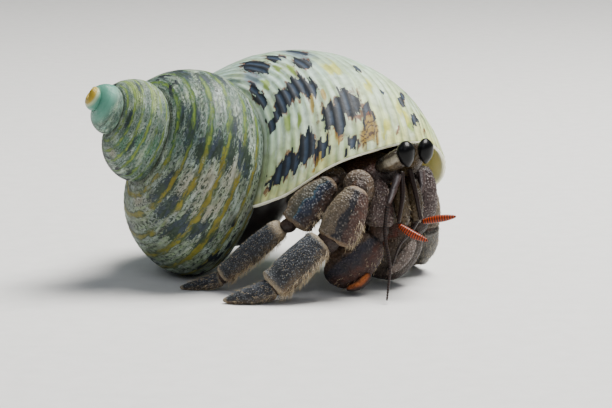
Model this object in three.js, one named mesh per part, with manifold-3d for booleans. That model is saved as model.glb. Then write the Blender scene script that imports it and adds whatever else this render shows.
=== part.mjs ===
// A land hermit crab in a turban shell, life size: a still museum model.
// Millimetres, +Z up. The crab faces +X and -Y, and the shell's spire points to -X.
import * as THREE from 'three';
import { mergeVertices } from 'three/addons/utils/BufferGeometryUtils.js';
import Module from 'manifold-3d';

const wasm = await Module();
wasm.setup();

// ---- Driving dimensions -------------------------------------------------

const GAP = 0.3;            // clearance between pieces that touch
const FLOOR = 0;            // level of all the resting flats

// The shell is a tube that grows as it turns about the axis from the apex.
const APEX = new THREE.Vector3(-22.8, -8.8, 24.7);
const AXIS_TURN = 30.3;     // degrees, from +X toward +Y
const AXIS_DIP = 30.8;      // degrees, below the horizontal
const MOUTH_TURN = 93;      // degrees about the axis, where growth stops
const GROWTH = 0.1143;      // the tube grows by e to this power per radian
const COIL_RADIUS = 14.6;   // axis to the middle of the tube, at the mouth
const COIL_DROP = 35.4;     // apex to the middle of the tube, along the axis
const TUBE_LONG = 12.9;     // half of the tube's oval section, at the mouth
const TUBE_SHORT = 8.9;
const TUBE_LEAN = 65.7;     // degrees, of the section's long way from the radius
const SUTURE_TUCK = 0.12;   // how far a whorl reaches under the one before it
const WALL = 1.0;           // shell thickness
const LIP_WALL = 0.6;       // and at the lip
const LAST_WHORL = -4.9;    // radians of growth, back from the mouth, to its start
const PREVIOUS_WHORL = -9.8;
const SPIRE = [             // the solid whorls: where each starts, its sides and rings
  [-14.7, 12, 8],
  [-19.9, 9, 7],
  [-25.2, 7, 5],
];
const SPIRE_LENGTH = 5.4;   // radians: each one reaches a little into the next
const CHAMBER = -7.0;       // radians: how far up the whorls the hollow reaches
const CORE_SLOPE = 0.33;    // radius of the solid core for each mm down the axis
const CORE_START = 4;       // mm down the axis from the apex
const CORE_END = 31;
// Degrees of growth by which the lip lags, every 30 degrees round the section.
const LIP_LAG = [18, 2, -18, -30, -39, -43, -42, -41, -33, -19, -3, 8];

const ABDOMEN_START = -0.75;  // radians of growth, back from the mouth
const ABDOMEN_END = -5.6;
const ABDOMEN_RADIUS = 4.4;   // at the mouth's size
const ABDOMEN_INWARD = 4.0;   // from the middle of the tube toward the axis

const BLUNT = 0.5;          // 1 brings a limb's end to a point, 0 cuts it square
const MIDDLE = [0.2, 1.0];  // x and y of the whole model's middle, as it is set out below

// ---- Tools --------------------------------------------------------------

const TURN = Math.PI * 2;
const radians = THREE.MathUtils.degToRad;
const vector = (at) => new THREE.Vector3(...at);

// A smooth value at t, from 0 to 1, through evenly spaced values.
function along(values, t) {
  const x = THREE.MathUtils.clamp(t, 0, 1) * (values.length - 1);
  const i = Math.min(Math.floor(x), values.length - 2);
  const at = (n) => values[THREE.MathUtils.clamp(n, 0, values.length - 1)];
  return catmull(at(i - 1), at(i), at(i + 1), at(i + 2), x - i);
}

function catmull(a, b, c, d, t) {
  const slopes = [(c - a) / 2, (d - b) / 2];
  return (2 * b - 2 * c + slopes[0] + slopes[1]) * t ** 3
    + (3 * c - 3 * b - 2 * slopes[0] - slopes[1]) * t ** 2 + slopes[0] * t + b;
}

// A cylinder whose every point is moved by where(t, angle, reach): t runs from
// 0 to 1 along it, and reach is 1 on the wall and 0 at the middle of each end.
function bentCylinder(sides, rings, where) {
  const geometry = new THREE.CylinderGeometry(1, 1, 1, sides, rings);
  const spots = geometry.attributes.position;
  for (let i = 0; i < spots.count; i += 1) {
    const x = spots.getX(i);
    const z = spots.getZ(i);
    const p = where(spots.getY(i) + 0.5, Math.atan2(x, z), Math.hypot(x, z));
    spots.setXYZ(i, p.x, p.y, p.z);
  }
  return toSolid(geometry);
}

function toSolid(source) {
  source.deleteAttribute('normal');
  source.deleteAttribute('uv');
  const geometry = mergeVertices(source, 1e-4);
  const vertProperties = new Float32Array(geometry.attributes.position.array);
  const triVerts = new Uint32Array(geometry.index.array);
  if (signedVolume(vertProperties, triVerts) < 0) {
    triVerts.reverse();
  }
  return new wasm.Manifold(new wasm.Mesh({ numProp: 3, vertProperties, triVerts }));
}

function signedVolume(points, triangles) {
  const corner = (i) => new THREE.Vector3().fromArray(points, triangles[i] * 3);
  let sum = 0;
  for (let i = 0; i < triangles.length; i += 3) {
    sum += corner(i).dot(corner(i + 1).cross(corner(i + 2)));
  }
  return sum / 6;
}

function largestBody(solid) {
  const bodies = solid.decompose();
  return bodies.reduce((best, body) => (body.volume() > best.volume() ? body : best));
}

function reachesInto(one, other) {
  const a = one.boundingBox();
  const b = other.boundingBox();
  return [0, 1, 2].every((k) => a.min[k] < b.max[k] && b.min[k] < a.max[k]);
}

// ---- The shell's growth -------------------------------------------------

const DOWN_AXIS = new THREE.Vector3(
  Math.cos(radians(AXIS_DIP)) * Math.cos(radians(AXIS_TURN)),
  Math.cos(radians(AXIS_DIP)) * Math.sin(radians(AXIS_TURN)),
  -Math.sin(radians(AXIS_DIP)),
);
const TOP_SIDE = new THREE.Vector3(0, 0, 1).projectOnPlane(DOWN_AXIS).normalize();
const NEAR_SIDE = new THREE.Vector3().crossVectors(DOWN_AXIS, TOP_SIDE);

// A point of the shell's frame: radius and drop are measured from the apex.
function coilPoint(growth, radius, drop) {
  const turn = growth + radians(MOUTH_TURN);
  return APEX.clone()
    .addScaledVector(TOP_SIDE, radius * Math.cos(turn))
    .addScaledVector(NEAR_SIDE, radius * Math.sin(turn))
    .addScaledVector(DOWN_AXIS, drop);
}

function lipLag(angle) {
  const step = TURN / LIP_LAG.length;
  const x = (angle + TURN / 2) / step;
  const i = Math.floor(x);
  const at = (n) => LIP_LAG[(n + LIP_LAG.length) % LIP_LAG.length];
  return radians(catmull(at(i - 1), at(i), at(i + 1), at(i + 2), x - i));
}

// A length of the tube. The angle is 0 on the base side and -90 degrees outward.
function whorl({ from, to, sides, rings, inset = () => 0 }) {
  return bentCylinder(sides, rings, (t, angle, reach) => {
    const start = from + (to - from) * t;
    const growth = start + lipLag(angle) * reach;
    const size = Math.exp(GROWTH * growth);
    const tuck = 1 + SUTURE_TUCK * Math.max(0, -Math.cos(angle)) ** 8;
    const long = (TUBE_LONG * tuck - inset(start)) * reach * Math.cos(angle);
    const short = (TUBE_SHORT - inset(start)) * reach * Math.sin(angle);
    const lean = radians(TUBE_LEAN);
    const outward = long * Math.cos(lean) - short * Math.sin(lean);
    const baseward = long * Math.sin(lean) + short * Math.cos(lean);
    return coilPoint(growth, (COIL_RADIUS + outward) * size, (COIL_DROP + baseward) * size);
  });
}

// A share of the full radius that falls off over the last 1/length of t.
function roundEnd(t, length) {
  return Math.sqrt(1 - 0.8 * Math.max(0, 1 - (1 - t) * length) ** 2);
}

// The solid round the axis that the whorls are built against, with a round end.
function columella(grow) {
  return bentCylinder(10, 4, (t, angle, reach) => {
    const drop = CORE_START + (CORE_END - CORE_START) * t;
    const radius = CORE_SLOPE * drop * roundEnd(t, 4);
    return coilPoint(angle, (radius + grow) * reach, drop + (2 * t - 1) * grow);
  });
}

// ---- Building and placing -----------------------------------------------

const crab = new THREE.Group();
const placed = [];          // a fatter copy of each placed piece, to cut the next

// Adds a piece: shape(grow) makes it, fatter by grow on every side.
function place(name, shape, finish) {
  let solid = shape(0).trimByPlane([0, 0, 1], FLOOR);
  for (const other of placed) {
    if (reachesInto(solid, other)) {
      solid = solid.subtract(other);
    }
  }
  placed.push(shape(GAP));
  const { vertProperties, triVerts } = largestBody(solid).getMesh();
  const geometry = new THREE.BufferGeometry();
  geometry.setAttribute('position', new THREE.BufferAttribute(vertProperties, 3));
  geometry.setIndex(new THREE.BufferAttribute(triVerts, 1));
  const mesh = new THREE.Mesh(geometry, new THREE.MeshStandardMaterial(finish));
  mesh.name = name;
  crab.add(mesh);
}

function shellSolid(grow) {
  const wall = (start) => THREE.MathUtils.lerp(LIP_WALL, WALL, Math.min(1, -start)) + grow;
  const skin = () => -grow;
  const overlap = 0.3;
  const lastHollow = whorl({
    from: LAST_WHORL - overlap, to: 0.2, sides: 14, rings: 11, inset: wall,
  });
  const previousHollow = whorl({
    from: CHAMBER, to: LAST_WHORL + overlap, sides: 14, rings: 4, inset: wall,
  });
  const last = whorl({ from: LAST_WHORL, to: 0, sides: 22, rings: 15, inset: skin });
  const previous = whorl({
    from: PREVIOUS_WHORL, to: LAST_WHORL + overlap / 3, sides: 18, rings: 11, inset: skin,
  });
  const spire = SPIRE.map(([from, sides, rings]) => (
    whorl({ from, to: from + SPIRE_LENGTH, sides, rings, inset: skin })
  ));
  const core = columella(grow);
  const lastTube = last.add(core).subtract(lastHollow).subtract(previousHollow);
  const previousTube = previous.subtract(previousHollow);
  return spire.reduce((whole, part) => whole.add(part), lastTube.add(previousTube));
}

place('shell', shellSolid, { color: 0xc9d3b0, roughness: 0.4, metalness: 0 });

// ---- The crab's forms ---------------------------------------------------

// A limb's length: an oval section swept along a curve, with round ends. wide and
// deep are half-sizes at even steps, and facing is the way that the broad side looks.
function limb(points, { wide, deep, facing, sides = 8, rings = 5, round = 0.16 }) {
  const curve = new THREE.CatmullRomCurve3(points.map(vector));
  return (grow) => bentCylinder(sides, rings, (t, angle, reach) => {
    const even = (1 - Math.cos(Math.PI * t)) / 2;
    const middle = curve.getPointAt(even);
    const forward = curve.getTangentAt(even);
    middle.addScaledVector(forward, (2 * even - 1) * grow);
    const side = new THREE.Vector3().crossVectors(forward, vector(facing)).normalize();
    const front = new THREE.Vector3().crossVectors(side, forward);
    const end = Math.min(even, 1 - even) / round;
    const bulge = Math.sqrt(1 - BLUNT * Math.max(0, 1 - end) ** 2);
    const halfWide = along(wide, even) * bulge + grow;
    const halfDeep = along(deep, even) * bulge + grow;
    return middle.addScaledVector(side, halfWide * reach * Math.cos(angle))
      .addScaledVector(front, halfDeep * reach * Math.sin(angle));
  });
}

// A feeler: a thin round rod along a curve, tapering from root to tip.
function feeler(points, root, tip) {
  const rings = points.length * 2 - 1;
  const wide = [root, (root + tip) / 2, tip];
  return limb(points, { wide, deep: wide, facing: [0.3, -1, 0.2], sides: 4, rings, round: 0.02 });
}

// The soft abdomen follows the hollow of the shell, close to the axis.
function abdomenSolid(grow) {
  return bentCylinder(8, 10, (t, angle, reach) => {
    const growth = ABDOMEN_START + (ABDOMEN_END - ABDOMEN_START) * t;
    const size = Math.exp(GROWTH * growth);
    const half = (ABDOMEN_RADIUS * roundEnd(t, 8) + grow / size) * reach;
    return coilPoint(
      growth,
      (COIL_RADIUS - ABDOMEN_INWARD + half * Math.cos(angle)) * size,
      (COIL_DROP + half * Math.sin(angle)) * size,
    );
  });
}

// ---- Colours of the hard skin -------------------------------------------

const BROWN = { color: 0x5b4a45, roughness: 0.6, metalness: 0 };
const GREY = { color: 0x6f6f72, roughness: 0.65, metalness: 0 };
const TAN = { color: 0x9a8468, roughness: 0.6, metalness: 0 };
const ORANGE = { color: 0xb4481c, roughness: 0.4, metalness: 0 };
const BLACK = { color: 0x16151a, roughness: 0.08, metalness: 0 };
const PINK = { color: 0xb89a8c, roughness: 0.7, metalness: 0 };

// ---- The trunk --------------------------------------------------------

place('carapace', limb([[15.3, -9.2, 14.3], [11.6, -6.3, 14.5], [7.8, -3.4, 13.4]], {
  wide: [2.6, 3.6, 3.9, 3.7, 3.0], deep: [1.2, 1.7, 1.8, 1.7, 1.4], facing: [0.1, -0.25, 1],
}), BROWN);
place('claw_right_merus', limb([[12.2, -8.6, 6.9], [12.7, -8.9, 9.6], [13.0, -9.4, 12.3]], {
  wide: [1.2, 1.4, 1.3, 1.0], deep: [1.0, 1.1, 1.1, 0.9], facing: [0.1, -1, 0.1],
}), BROWN);
place('thorax', limb([[14.8, -8.0, 11.0], [11.4, -5.6, 10.4], [7.6, -2.8, 10.6]], {
  wide: [2.2, 3.1, 3.2, 3.0, 2.6], deep: [1.8, 2.3, 2.4, 2.3, 2.2], facing: [0.1, -0.25, 1],
  sides: 12,
}), BROWN);

// ---- The near side: the crab's right, which is the smaller claw's side ---

place('leg2_right_carpus', limb([[10.9, -13.3, 13.3], [9.3, -14.4, 10.1], [7.8, -14.9, 6.9]], {
  wide: [1.3, 2.0, 2.4, 2.5, 2.1], deep: [1.3, 1.6, 1.7, 1.6, 1.4], facing: [0.1, -1, 0.25],
}), BROWN);
place('leg2_right_propodus', limb([[6.4, -15.1, 7.2], [3.4, -16.2, 4.6], [0.4, -16.9, 1.9]], {
  wide: [1.75, 1.9, 2.0, 2.0, 1.8], deep: [1.4, 1.6, 1.6, 1.5, 1.2], facing: [0, -1, 0.25],
}), GREY);
place('leg2_right_dactyl', limb([[0.9, -16.8, 1.8], [-2.4, -17.3, 0.9], [-5.4, -17.2, 0.3]], {
  wide: [1.35, 1.2, 0.9, 0.35], deep: [1.15, 1.0, 0.8, 0.35], facing: [0, -1, 0.25],
}), GREY);
place('leg2_right_merus', limb([[11.2, -7.0, 10.2], [11.2, -10.0, 12.4], [10.4, -12.8, 14.0]], {
  wide: [1.3, 1.6, 1.7, 1.5], deep: [1.3, 1.6, 1.7, 1.5], facing: [0, 0.5, 1],
}), TAN);
place('leg3_right_carpus', limb([[7.8, -11.4, 13.9], [5.0, -12.4, 11.3], [3.1, -13.1, 8.6]], {
  wide: [1.2, 1.8, 2.15, 1.8], deep: [1.1, 1.3, 1.3, 1.1], facing: [0.1, -1, 0.25],
}), BROWN);
place('leg3_right_propodus', limb([[1.6, -13.2, 8.6], [-2.0, -11.7, 5.3], [-5.6, -9.8, 1.9]], {
  wide: [1.2, 1.4, 1.45, 1.35, 1.15], deep: [1.1, 1.2, 1.2, 1.1, 0.9], facing: [0, -1, 0.25],
}), GREY);
place('leg3_right_dactyl', limb([[-5.6, -9.9, 1.6], [-8.2, -9.3, 0.65], [-10.9, -9.4, 0.25]], {
  wide: [0.95, 0.85, 0.65, 0.3], deep: [0.85, 0.75, 0.6, 0.3], facing: [0, -1, 0.25],
}), GREY);
place('leg3_right_merus', limb([[8.0, -5.2, 11.4], [8.0, -8.2, 13.0], [7.6, -10.7, 14.4]], {
  wide: [1.2, 1.5, 1.6, 1.3], deep: [1.1, 1.3, 1.4, 1.2], facing: [0, 0.5, 1],
}), TAN);

place('claw_right_palm', limb([[13.2, -11.0, 7.0], [10.0, -11.4, 3.8], [6.9, -11.6, 1.9]], {
  wide: [1.6, 2.3, 2.6, 2.4, 1.3], deep: [1.4, 1.9, 1.9, 1.5, 0.9], facing: [0.1, -1, 0.1],
}), BROWN);
place('claw_right_dactyl', limb([[12.2, -12.5, 2.7], [11.0, -12.8, 1.5], [9.4, -12.8, 0.8]], {
  wide: [0.5, 0.65, 0.6, 0.35], deep: [0.5, 0.65, 0.6, 0.35], facing: [0.1, -1, 0.1],
}), ORANGE);
place('claw_right_carpus', limb([[13.1, -9.8, 14.2], [13.5, -10.3, 11.2], [13.4, -10.8, 8.0]], {
  wide: [0.6, 1.1, 1.5, 1.5], deep: [0.9, 1.4, 1.7, 1.5], facing: [0.1, -1, 0.1],
}), PINK);

// ---- The head -----------------------------------------------------------

place('cornea_right', limb([[16.4, -12.0, 18.8], [16.5, -12.1, 17.2], [16.8, -12.0, 15.6]], {
  wide: [0.8, 1.0, 0.95, 0.75, 0.5], deep: [0.9, 1.2, 1.2, 1.0, 0.6], facing: [-0.6, -0.8, 0],
  rings: 6, round: 0.4,
}), BLACK);
place('cornea_left', limb([[18.9, -9.3, 18.7], [18.95, -9.4, 17.2], [19.0, -9.3, 15.6]], {
  wide: [0.65, 0.8, 0.8, 0.65, 0.45], deep: [0.9, 1.2, 1.2, 1.0, 0.6], facing: [-0.6, -0.8, 0],
  rings: 6, round: 0.4,
}), BLACK);
place('eyestalk_right', limb([[13.2, -9.8, 15.2], [14.7, -10.9, 16.0], [16.1, -11.8, 16.9]], {
  wide: [0.85, 1.0, 1.15, 1.15], deep: [0.7, 0.9, 0.95, 0.8], facing: [-0.6, -0.8, 0],
}), TAN);
place('eyestalk_left', limb([[15.9, -7.7, 14.3], [17.5, -8.8, 15.7], [18.1, -9.5, 18.0]], {
  wide: [0.9, 1.0, 0.95, 0.65], deep: [0.7, 0.9, 0.9, 0.7], facing: [-0.6, -0.8, 0],
}), BROWN);
place('antennule_right_club', limb([[15.6, -12.7, 8.7], [17.2, -13.2, 7.7], [19.1, -13.6, 6.9]], {
  wide: [0.35, 0.5, 0.5, 0.28], deep: [0.35, 0.5, 0.5, 0.28], facing: [0, -1, 0], sides: 6,
}), ORANGE);
place('antennule_left_club', limb([[18.5, -10.6, 8.7], [20.4, -11.0, 9.1], [22.6, -11.4, 9.5]], {
  wide: [0.35, 0.45, 0.45, 0.28], deep: [0.35, 0.45, 0.45, 0.28], facing: [0, -1, 0], sides: 6,
}), ORANGE);
place('antennule_right_stalk', feeler([
  [16.0, -10.8, 14.9], [16.1, -11.9, 12.0], [15.6, -12.6, 8.9],
], 0.42, 0.3), BROWN);
place('antennule_left_stalk', feeler([
  [17.0, -9.6, 15.0], [17.8, -10.2, 11.9], [18.4, -10.5, 8.9],
], 0.42, 0.3), BROWN);
place('antenna_right_base', limb([[15.6, -11.2, 14.7], [15.1, -11.9, 13.1], [14.4, -12.6, 11.2]], {
  wide: [0.5, 0.45, 0.4, 0.3], deep: [0.6, 0.55, 0.5, 0.3], facing: [0.1, -1, 0.1], sides: 6, rings: 4,
}), PINK);
place('antenna_right_flagellum', feeler([
  [14.3, -12.8, 11.0], [14.0, -13.4, 9.0], [14.0, -14.2, 7.2], [14.5, -15.6, 4.0], [14.1, -17.8, 0.5],
], 0.32, 0.26), BROWN);
place('antenna_left_base', limb([[18.5, -7.4, 14.6], [18.6, -7.4, 13.0], [18.5, -7.4, 11.5]], {
  wide: [0.5, 0.45, 0.4, 0.3], deep: [0.6, 0.55, 0.5, 0.3], facing: [0.1, -1, 0.1], sides: 6, rings: 4,
}), PINK);
place('antenna_left_flagellum', feeler([
  [18.5, -7.5, 11.3], [18.3, -9.0, 9.2], [17.2, -10.4, 7.4], [15.8, -11.7, 6.0], [14.9, -12.4, 3.6],
], 0.32, 0.26), BROWN);
place('mouthpart_right', limb([[15.7, -10.2, 13.6], [16.0, -10.8, 11.0], [16.4, -10.9, 8.2]], {
  wide: [0.7, 0.85, 0.9, 0.6], deep: [0.8, 0.9, 0.9, 0.6], facing: [0.3, -1, 0],
}), TAN);
place('mouthpart_left', limb([[17.2, -8.4, 13.6], [17.7, -8.9, 11.0], [17.9, -9.1, 8.2]], {
  wide: [0.7, 0.85, 0.9, 0.6], deep: [0.8, 0.9, 0.9, 0.6], facing: [0.3, -1, 0],
}), TAN);

// ---- The far side: the crab's left, with the great claw -----------------

place('claw_left_palm', limb([[17.7, -4.9, 7.0], [15.4, -6.2, 4.1], [12.4, -7.2, 1.4]], {
  wide: [1.8, 2.4, 2.7, 2.4, 1.0], deep: [1.7, 2.3, 2.3, 1.7, 0.7], facing: [0.45, -0.9, 0.1],
  sides: 12,
}), BROWN);
place('claw_left_dactyl', limb([[17.7, -7.2, 5.9], [16.4, -8.4, 3.8], [14.3, -8.9, 1.8]], {
  wide: [0.5, 0.75, 0.7, 0.35], deep: [0.7, 0.9, 0.8, 0.35], facing: [0.45, -0.9, 0.1],
}), BROWN);
place('claw_left_carpus', limb([[18.6, -4.9, 14.6], [18.7, -4.7, 11.2], [18.5, -4.4, 7.8]], {
  wide: [1.1, 1.6, 1.75, 1.6], deep: [1.3, 2.0, 2.3, 1.9], facing: [0.45, -0.9, 0.1],
}), PINK);
place('claw_left_merus', limb([[15.4, -4.6, 9.2], [16.6, -4.4, 11.0], [18.3, -4.2, 13.0]], {
  wide: [1.2, 1.6, 1.6, 1.2], deep: [1.2, 1.5, 1.5, 1.2], facing: [0.45, -0.9, 0.1],
}), BROWN);
place('leg2_left_carpus', limb([[19.2, -1.2, 11.4], [19.6, -1.0, 9.0], [19.6, -0.6, 6.2]], {
  wide: [1.2, 1.5, 1.6, 1.4], deep: [1.2, 1.5, 1.6, 1.4], facing: [0.9, 0.3, 0],
}), TAN);
place('leg2_left_propodus', limb([[19.7, -0.7, 6.8], [19.6, 1.1, 4.2], [18.7, 3.8, 1.8]], {
  wide: [1.4, 1.6, 1.8, 1.8, 1.6], deep: [1.3, 1.4, 1.4, 1.2, 1.1], facing: [0.9, 0.3, 0],
}), TAN);
place('leg2_left_dactyl', limb([[18.8, 3.4, 1.8], [17.2, 6.8, 0.9], [14.4, 9.6, 0.3]], {
  wide: [1.2, 1.1, 0.85, 0.35], deep: [1.0, 0.9, 0.75, 0.35], facing: [0.9, 0.3, 0],
}), GREY);
place('leg2_left_merus', limb([[14.2, -2.9, 8.6], [16.6, -1.6, 10.2], [18.8, -1.2, 11.4]], {
  wide: [1.3, 1.5, 1.6, 1.3], deep: [1.2, 1.4, 1.4, 1.2], facing: [0.5, 0.6, 1],
}), BROWN);
place('leg3_left_carpus', limb([[16.9, 1.4, 5.9], [16.4, 3.4, 5.0], [15.0, 5.6, 3.9]], {
  wide: [1.0, 1.2, 1.3, 1.1], deep: [1.0, 1.1, 1.1, 0.9], facing: [0.9, 0.5, 0.2],
}), BROWN);
place('leg3_left_propodus', limb([[14.9, 5.7, 3.8], [12.2, 8.4, 2.6], [9.0, 10.6, 1.4]], {
  wide: [1.1, 1.25, 1.3, 1.1, 1.0], deep: [0.9, 1.0, 1.0, 0.9, 0.8], facing: [0.5, 0.8, 0.2],
}), GREY);
place('leg3_left_dactyl', limb([[9.2, 10.5, 1.3], [6.4, 11.8, 0.6], [3.6, 12.0, 0.25]], {
  wide: [0.9, 0.8, 0.6, 0.3], deep: [0.8, 0.7, 0.55, 0.3], facing: [0.2, 1, 0.1],
}), GREY);
place('leg3_left_merus', limb([[12.0, -2.0, 7.8], [14.4, -0.6, 7.2], [16.7, 1.2, 6.2]], {
  wide: [1.1, 1.3, 1.3, 1.0], deep: [1.0, 1.2, 1.2, 1.0], facing: [0.5, 0.6, 1],
}), BROWN);

// ---- The small hind legs and the abdomen --------------------------------

const HIND_LEGS = [
  ['leg4_right', [[8.4, -5.4, 9.4], [7.0, -7.0, 9.0], [5.4, -7.8, 9.6]], 0.75],
  ['leg4_left', [[10.4, -1.8, 8.8], [10.2, 0.0, 8.8], [9.2, 1.4, 9.6]], 0.75],
  ['leg5_right', [[6.8, -4.6, 11.2], [5.6, -5.6, 12.0], [5.2, -5.8, 13.6]], 0.55],
  ['leg5_left', [[8.4, -0.8, 11.0], [9.0, 0.8, 11.6], [9.0, 1.6, 12.8]], 0.55],
];
for (const [name, points, half] of HIND_LEGS) {
  const wide = [half * 0.8, half, half, half * 0.7];
  place(name, limb(points, { wide, deep: wide, facing: [0, 0, 1], sides: 6, rings: 4 }), TAN);
}
place('abdomen', abdomenSolid, PINK);

// The origin is on the floor, under the middle of the whole model.
crab.position.set(-MIDDLE[0], -MIDDLE[1], 0);
export default crab;
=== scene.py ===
"""A land hermit crab walking in a turban shell, as a still, life-size model."""

import math
import random

import bpy
import numpy as np
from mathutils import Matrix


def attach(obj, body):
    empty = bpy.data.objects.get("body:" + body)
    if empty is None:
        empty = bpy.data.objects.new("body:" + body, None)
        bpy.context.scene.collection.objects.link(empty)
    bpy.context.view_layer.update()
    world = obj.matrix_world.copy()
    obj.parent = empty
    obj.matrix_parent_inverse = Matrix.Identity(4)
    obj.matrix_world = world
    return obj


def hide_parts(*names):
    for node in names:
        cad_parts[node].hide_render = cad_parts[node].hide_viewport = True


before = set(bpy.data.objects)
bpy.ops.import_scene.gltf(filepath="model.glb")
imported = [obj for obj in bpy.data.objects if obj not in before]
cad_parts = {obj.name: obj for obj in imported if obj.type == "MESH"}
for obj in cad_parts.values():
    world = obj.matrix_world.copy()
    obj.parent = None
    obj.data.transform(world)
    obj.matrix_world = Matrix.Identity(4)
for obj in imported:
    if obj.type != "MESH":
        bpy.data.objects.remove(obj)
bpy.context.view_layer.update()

# ---- The table and the light ---------------------------------------------
# A pale matt table top, far wider than the view, stands for the ground. A broad
# lamp above and to the right is the sky, and two weaker ones open the shadows.
MM = 0.001
MIDDLE = np.array([0.2, 1.0, 0.0])
EYE_POINT = (4.3, -316.14, 64.57)
LOOK_DOWN = 10.0
LENS = 150.6
TABLE_SIZE = 2.4
TABLE_COLOUR = "D9D8D6"


def linear(colour):
    """A hex colour as the light values that a shader takes."""
    parts = [int(colour[k : k + 2], 16) / 255 for k in (0, 2, 4)]
    return [p / 12.92 if p <= 0.04045 else ((p + 0.055) / 1.055) ** 2.4 for p in parts] + [1]


def material(name):
    """An empty material, with its tree and its shader."""
    made = bpy.data.materials.new(name)
    made.use_nodes = True
    return made, made.node_tree, made.node_tree.nodes["Principled BSDF"]


def node(tree, kind, inputs=(), stops=(), **settings):
    """Adds a node. An input is given by its name or number, as a value, a socket or a
    node, which stands for its first output."""
    made = tree.nodes.new("ShaderNode" + kind)
    for key, value in settings.items():
        setattr(made, key, value)
    for key, value in dict(inputs).items():
        if isinstance(value, bpy.types.Node):
            value = value.outputs[0]
        if isinstance(value, bpy.types.NodeSocket):
            tree.links.new(value, made.inputs[key])
        else:
            made.inputs[key].default_value = value
    for k, (place, colour) in enumerate(stops):
        ramp = made.color_ramp.elements
        stop = ramp[k] if k < 2 else ramp.new(place)
        stop.position = place
        stop.color = linear(colour)
    return made


bpy.ops.object.select_all(action="DESELECT")
bpy.ops.mesh.primitive_plane_add(size=TABLE_SIZE)
table = bpy.context.object
table.name = "table_top"
table_paint, tree, shader = material("matt_white_laminate")
speckle = node(tree, "TexNoise", {"Scale": 900, "Detail": 3})
table_tone = node(tree, "ValToRGB", {0: speckle}, stops=[(0.3, "D3D2D0"), (0.7, TABLE_COLOUR)])
tree.links.new(table_tone.outputs[0], shader.inputs["Base Color"])
shader.inputs["Roughness"].default_value = 0.8
table.data.materials.append(table_paint)

world = bpy.data.worlds.new("studio")
bpy.context.scene.world = world
world.use_nodes = True
world.node_tree.nodes["Background"].inputs[0].default_value = linear("D6DEE8")
world.node_tree.nodes["Background"].inputs[1].default_value = 0.24

LAMPS = [
    ("sky", (0.15, 0.07, 0.42), (0.0, 0.0, 0.0), 0.24, 6.2, "FFFDF8"),
    ("near_fill", (0.10, -0.42, 0.34), (0.0, 0.0, 0.01), 0.30, 0.4, "F4F7FF"),
    ("left_fill", (-0.30, -0.16, 0.36), (0.0, 0.0, 0.01), 0.25, 0.3, "EEF3FF"),
]
for name, place, target, size, watts, colour in LAMPS:
    bpy.ops.object.light_add(type="AREA", location=place)
    lamp = bpy.context.object
    lamp.name = name
    lamp.data.size = size
    lamp.data.energy = watts
    lamp.data.color = linear(colour)[:3]
    away = np.array(place) - np.array(target)
    lamp.rotation_euler = (
        math.atan2(math.hypot(away[0], away[1]), away[2]),
        0,
        math.atan2(away[0], -away[1]),
    )

bpy.ops.object.camera_add(
    location=[k * MM for k in EYE_POINT],
    rotation=(math.radians(90 - LOOK_DOWN), 0, 0),
)
camera = bpy.context.object
camera.data.sensor_width = 36
camera.data.lens = LENS
camera.data.clip_start = 0.01
bpy.context.scene.camera = camera

# ---- The shell -----------------------------------------------------------
# A turban shell: a calcareous tube that grows as it turns about the axis, with fine
# spiral cords. Outside it is worn and dull, and at the tip and inside it is nacre.
# It is one grid, bent from the tip out to the lip, over it and back up the inside.
APEX = np.array([-22.8, -8.8, 24.7])
AXIS_TURN = math.radians(30.3)
AXIS_DIP = math.radians(30.8)
MOUTH_TURN = math.radians(93)
GROWTH = 0.1143
COIL_RADIUS = 14.6
COIL_DROP = 35.4
TUBE_LONG = 12.9
TUBE_SHORT = 8.9
TUBE_LEAN = math.radians(65.7)
SUTURE_TUCK = 0.12
WALL = 1.0
LIP_WALL = 0.6
TIP_GROWTH = -26.0
CHAMBER = -7.0
LIP_LAG = [18, 2, -18, -30, -39, -43, -42, -41, -33, -19, -3, 8]
CORDS = 63
CORD_HEIGHT = 0.085

DOWN_AXIS = np.array(
    [
        math.cos(AXIS_DIP) * math.cos(AXIS_TURN),
        math.cos(AXIS_DIP) * math.sin(AXIS_TURN),
        -math.sin(AXIS_DIP),
    ]
)
TOP_SIDE = np.array([0, 0, 1]) - DOWN_AXIS * DOWN_AXIS[2]
TOP_SIDE /= np.linalg.norm(TOP_SIDE)
NEAR_SIDE = np.cross(DOWN_AXIS, TOP_SIDE)


def catmull(a, b, c, d, t):
    """A smooth value between b and c."""
    first, last = (c - a) / 2, (d - b) / 2
    cube = (2 * b - 2 * c + first + last) * t**3
    return cube + (3 * c - 3 * b - 2 * first - last) * t**2 + first * t + b


def coil_point(growth, radius, drop):
    """Places measured from the tip, out from the axis and down it, in millimetres."""
    turn = growth + MOUTH_TURN
    across = np.cos(turn)[..., None] * TOP_SIDE + np.sin(turn)[..., None] * NEAR_SIDE
    return APEX + radius[..., None] * across + drop[..., None] * DOWN_AXIS


def tube_point(start, angle, inset, reach):
    """A place on the tube. The angle is 0 on the base side and -90 degrees outward."""
    share = (angle + math.pi) / (math.pi / 6)
    k = np.floor(share).astype(int)
    lag = np.array(LIP_LAG, float)
    corners = [lag[(k + n) % 12] for n in (-1, 0, 1, 2)]
    growth = start + np.radians(catmull(*corners, share - k)) * reach
    tuck = 1 + SUTURE_TUCK * np.maximum(0, -np.cos(angle)) ** 8
    long = (TUBE_LONG * tuck - inset) * reach * np.cos(angle)
    short = (TUBE_SHORT - inset) * reach * np.sin(angle)
    outward = long * math.cos(TUBE_LEAN) - short * math.sin(TUBE_LEAN)
    baseward = long * math.sin(TUBE_LEAN) + short * math.cos(TUBE_LEAN)
    size = np.exp(GROWTH * growth)
    return coil_point(growth, (COIL_RADIUS + outward) * size, (COIL_DROP + baseward) * size)


WELD = 0.004 * MM


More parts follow.
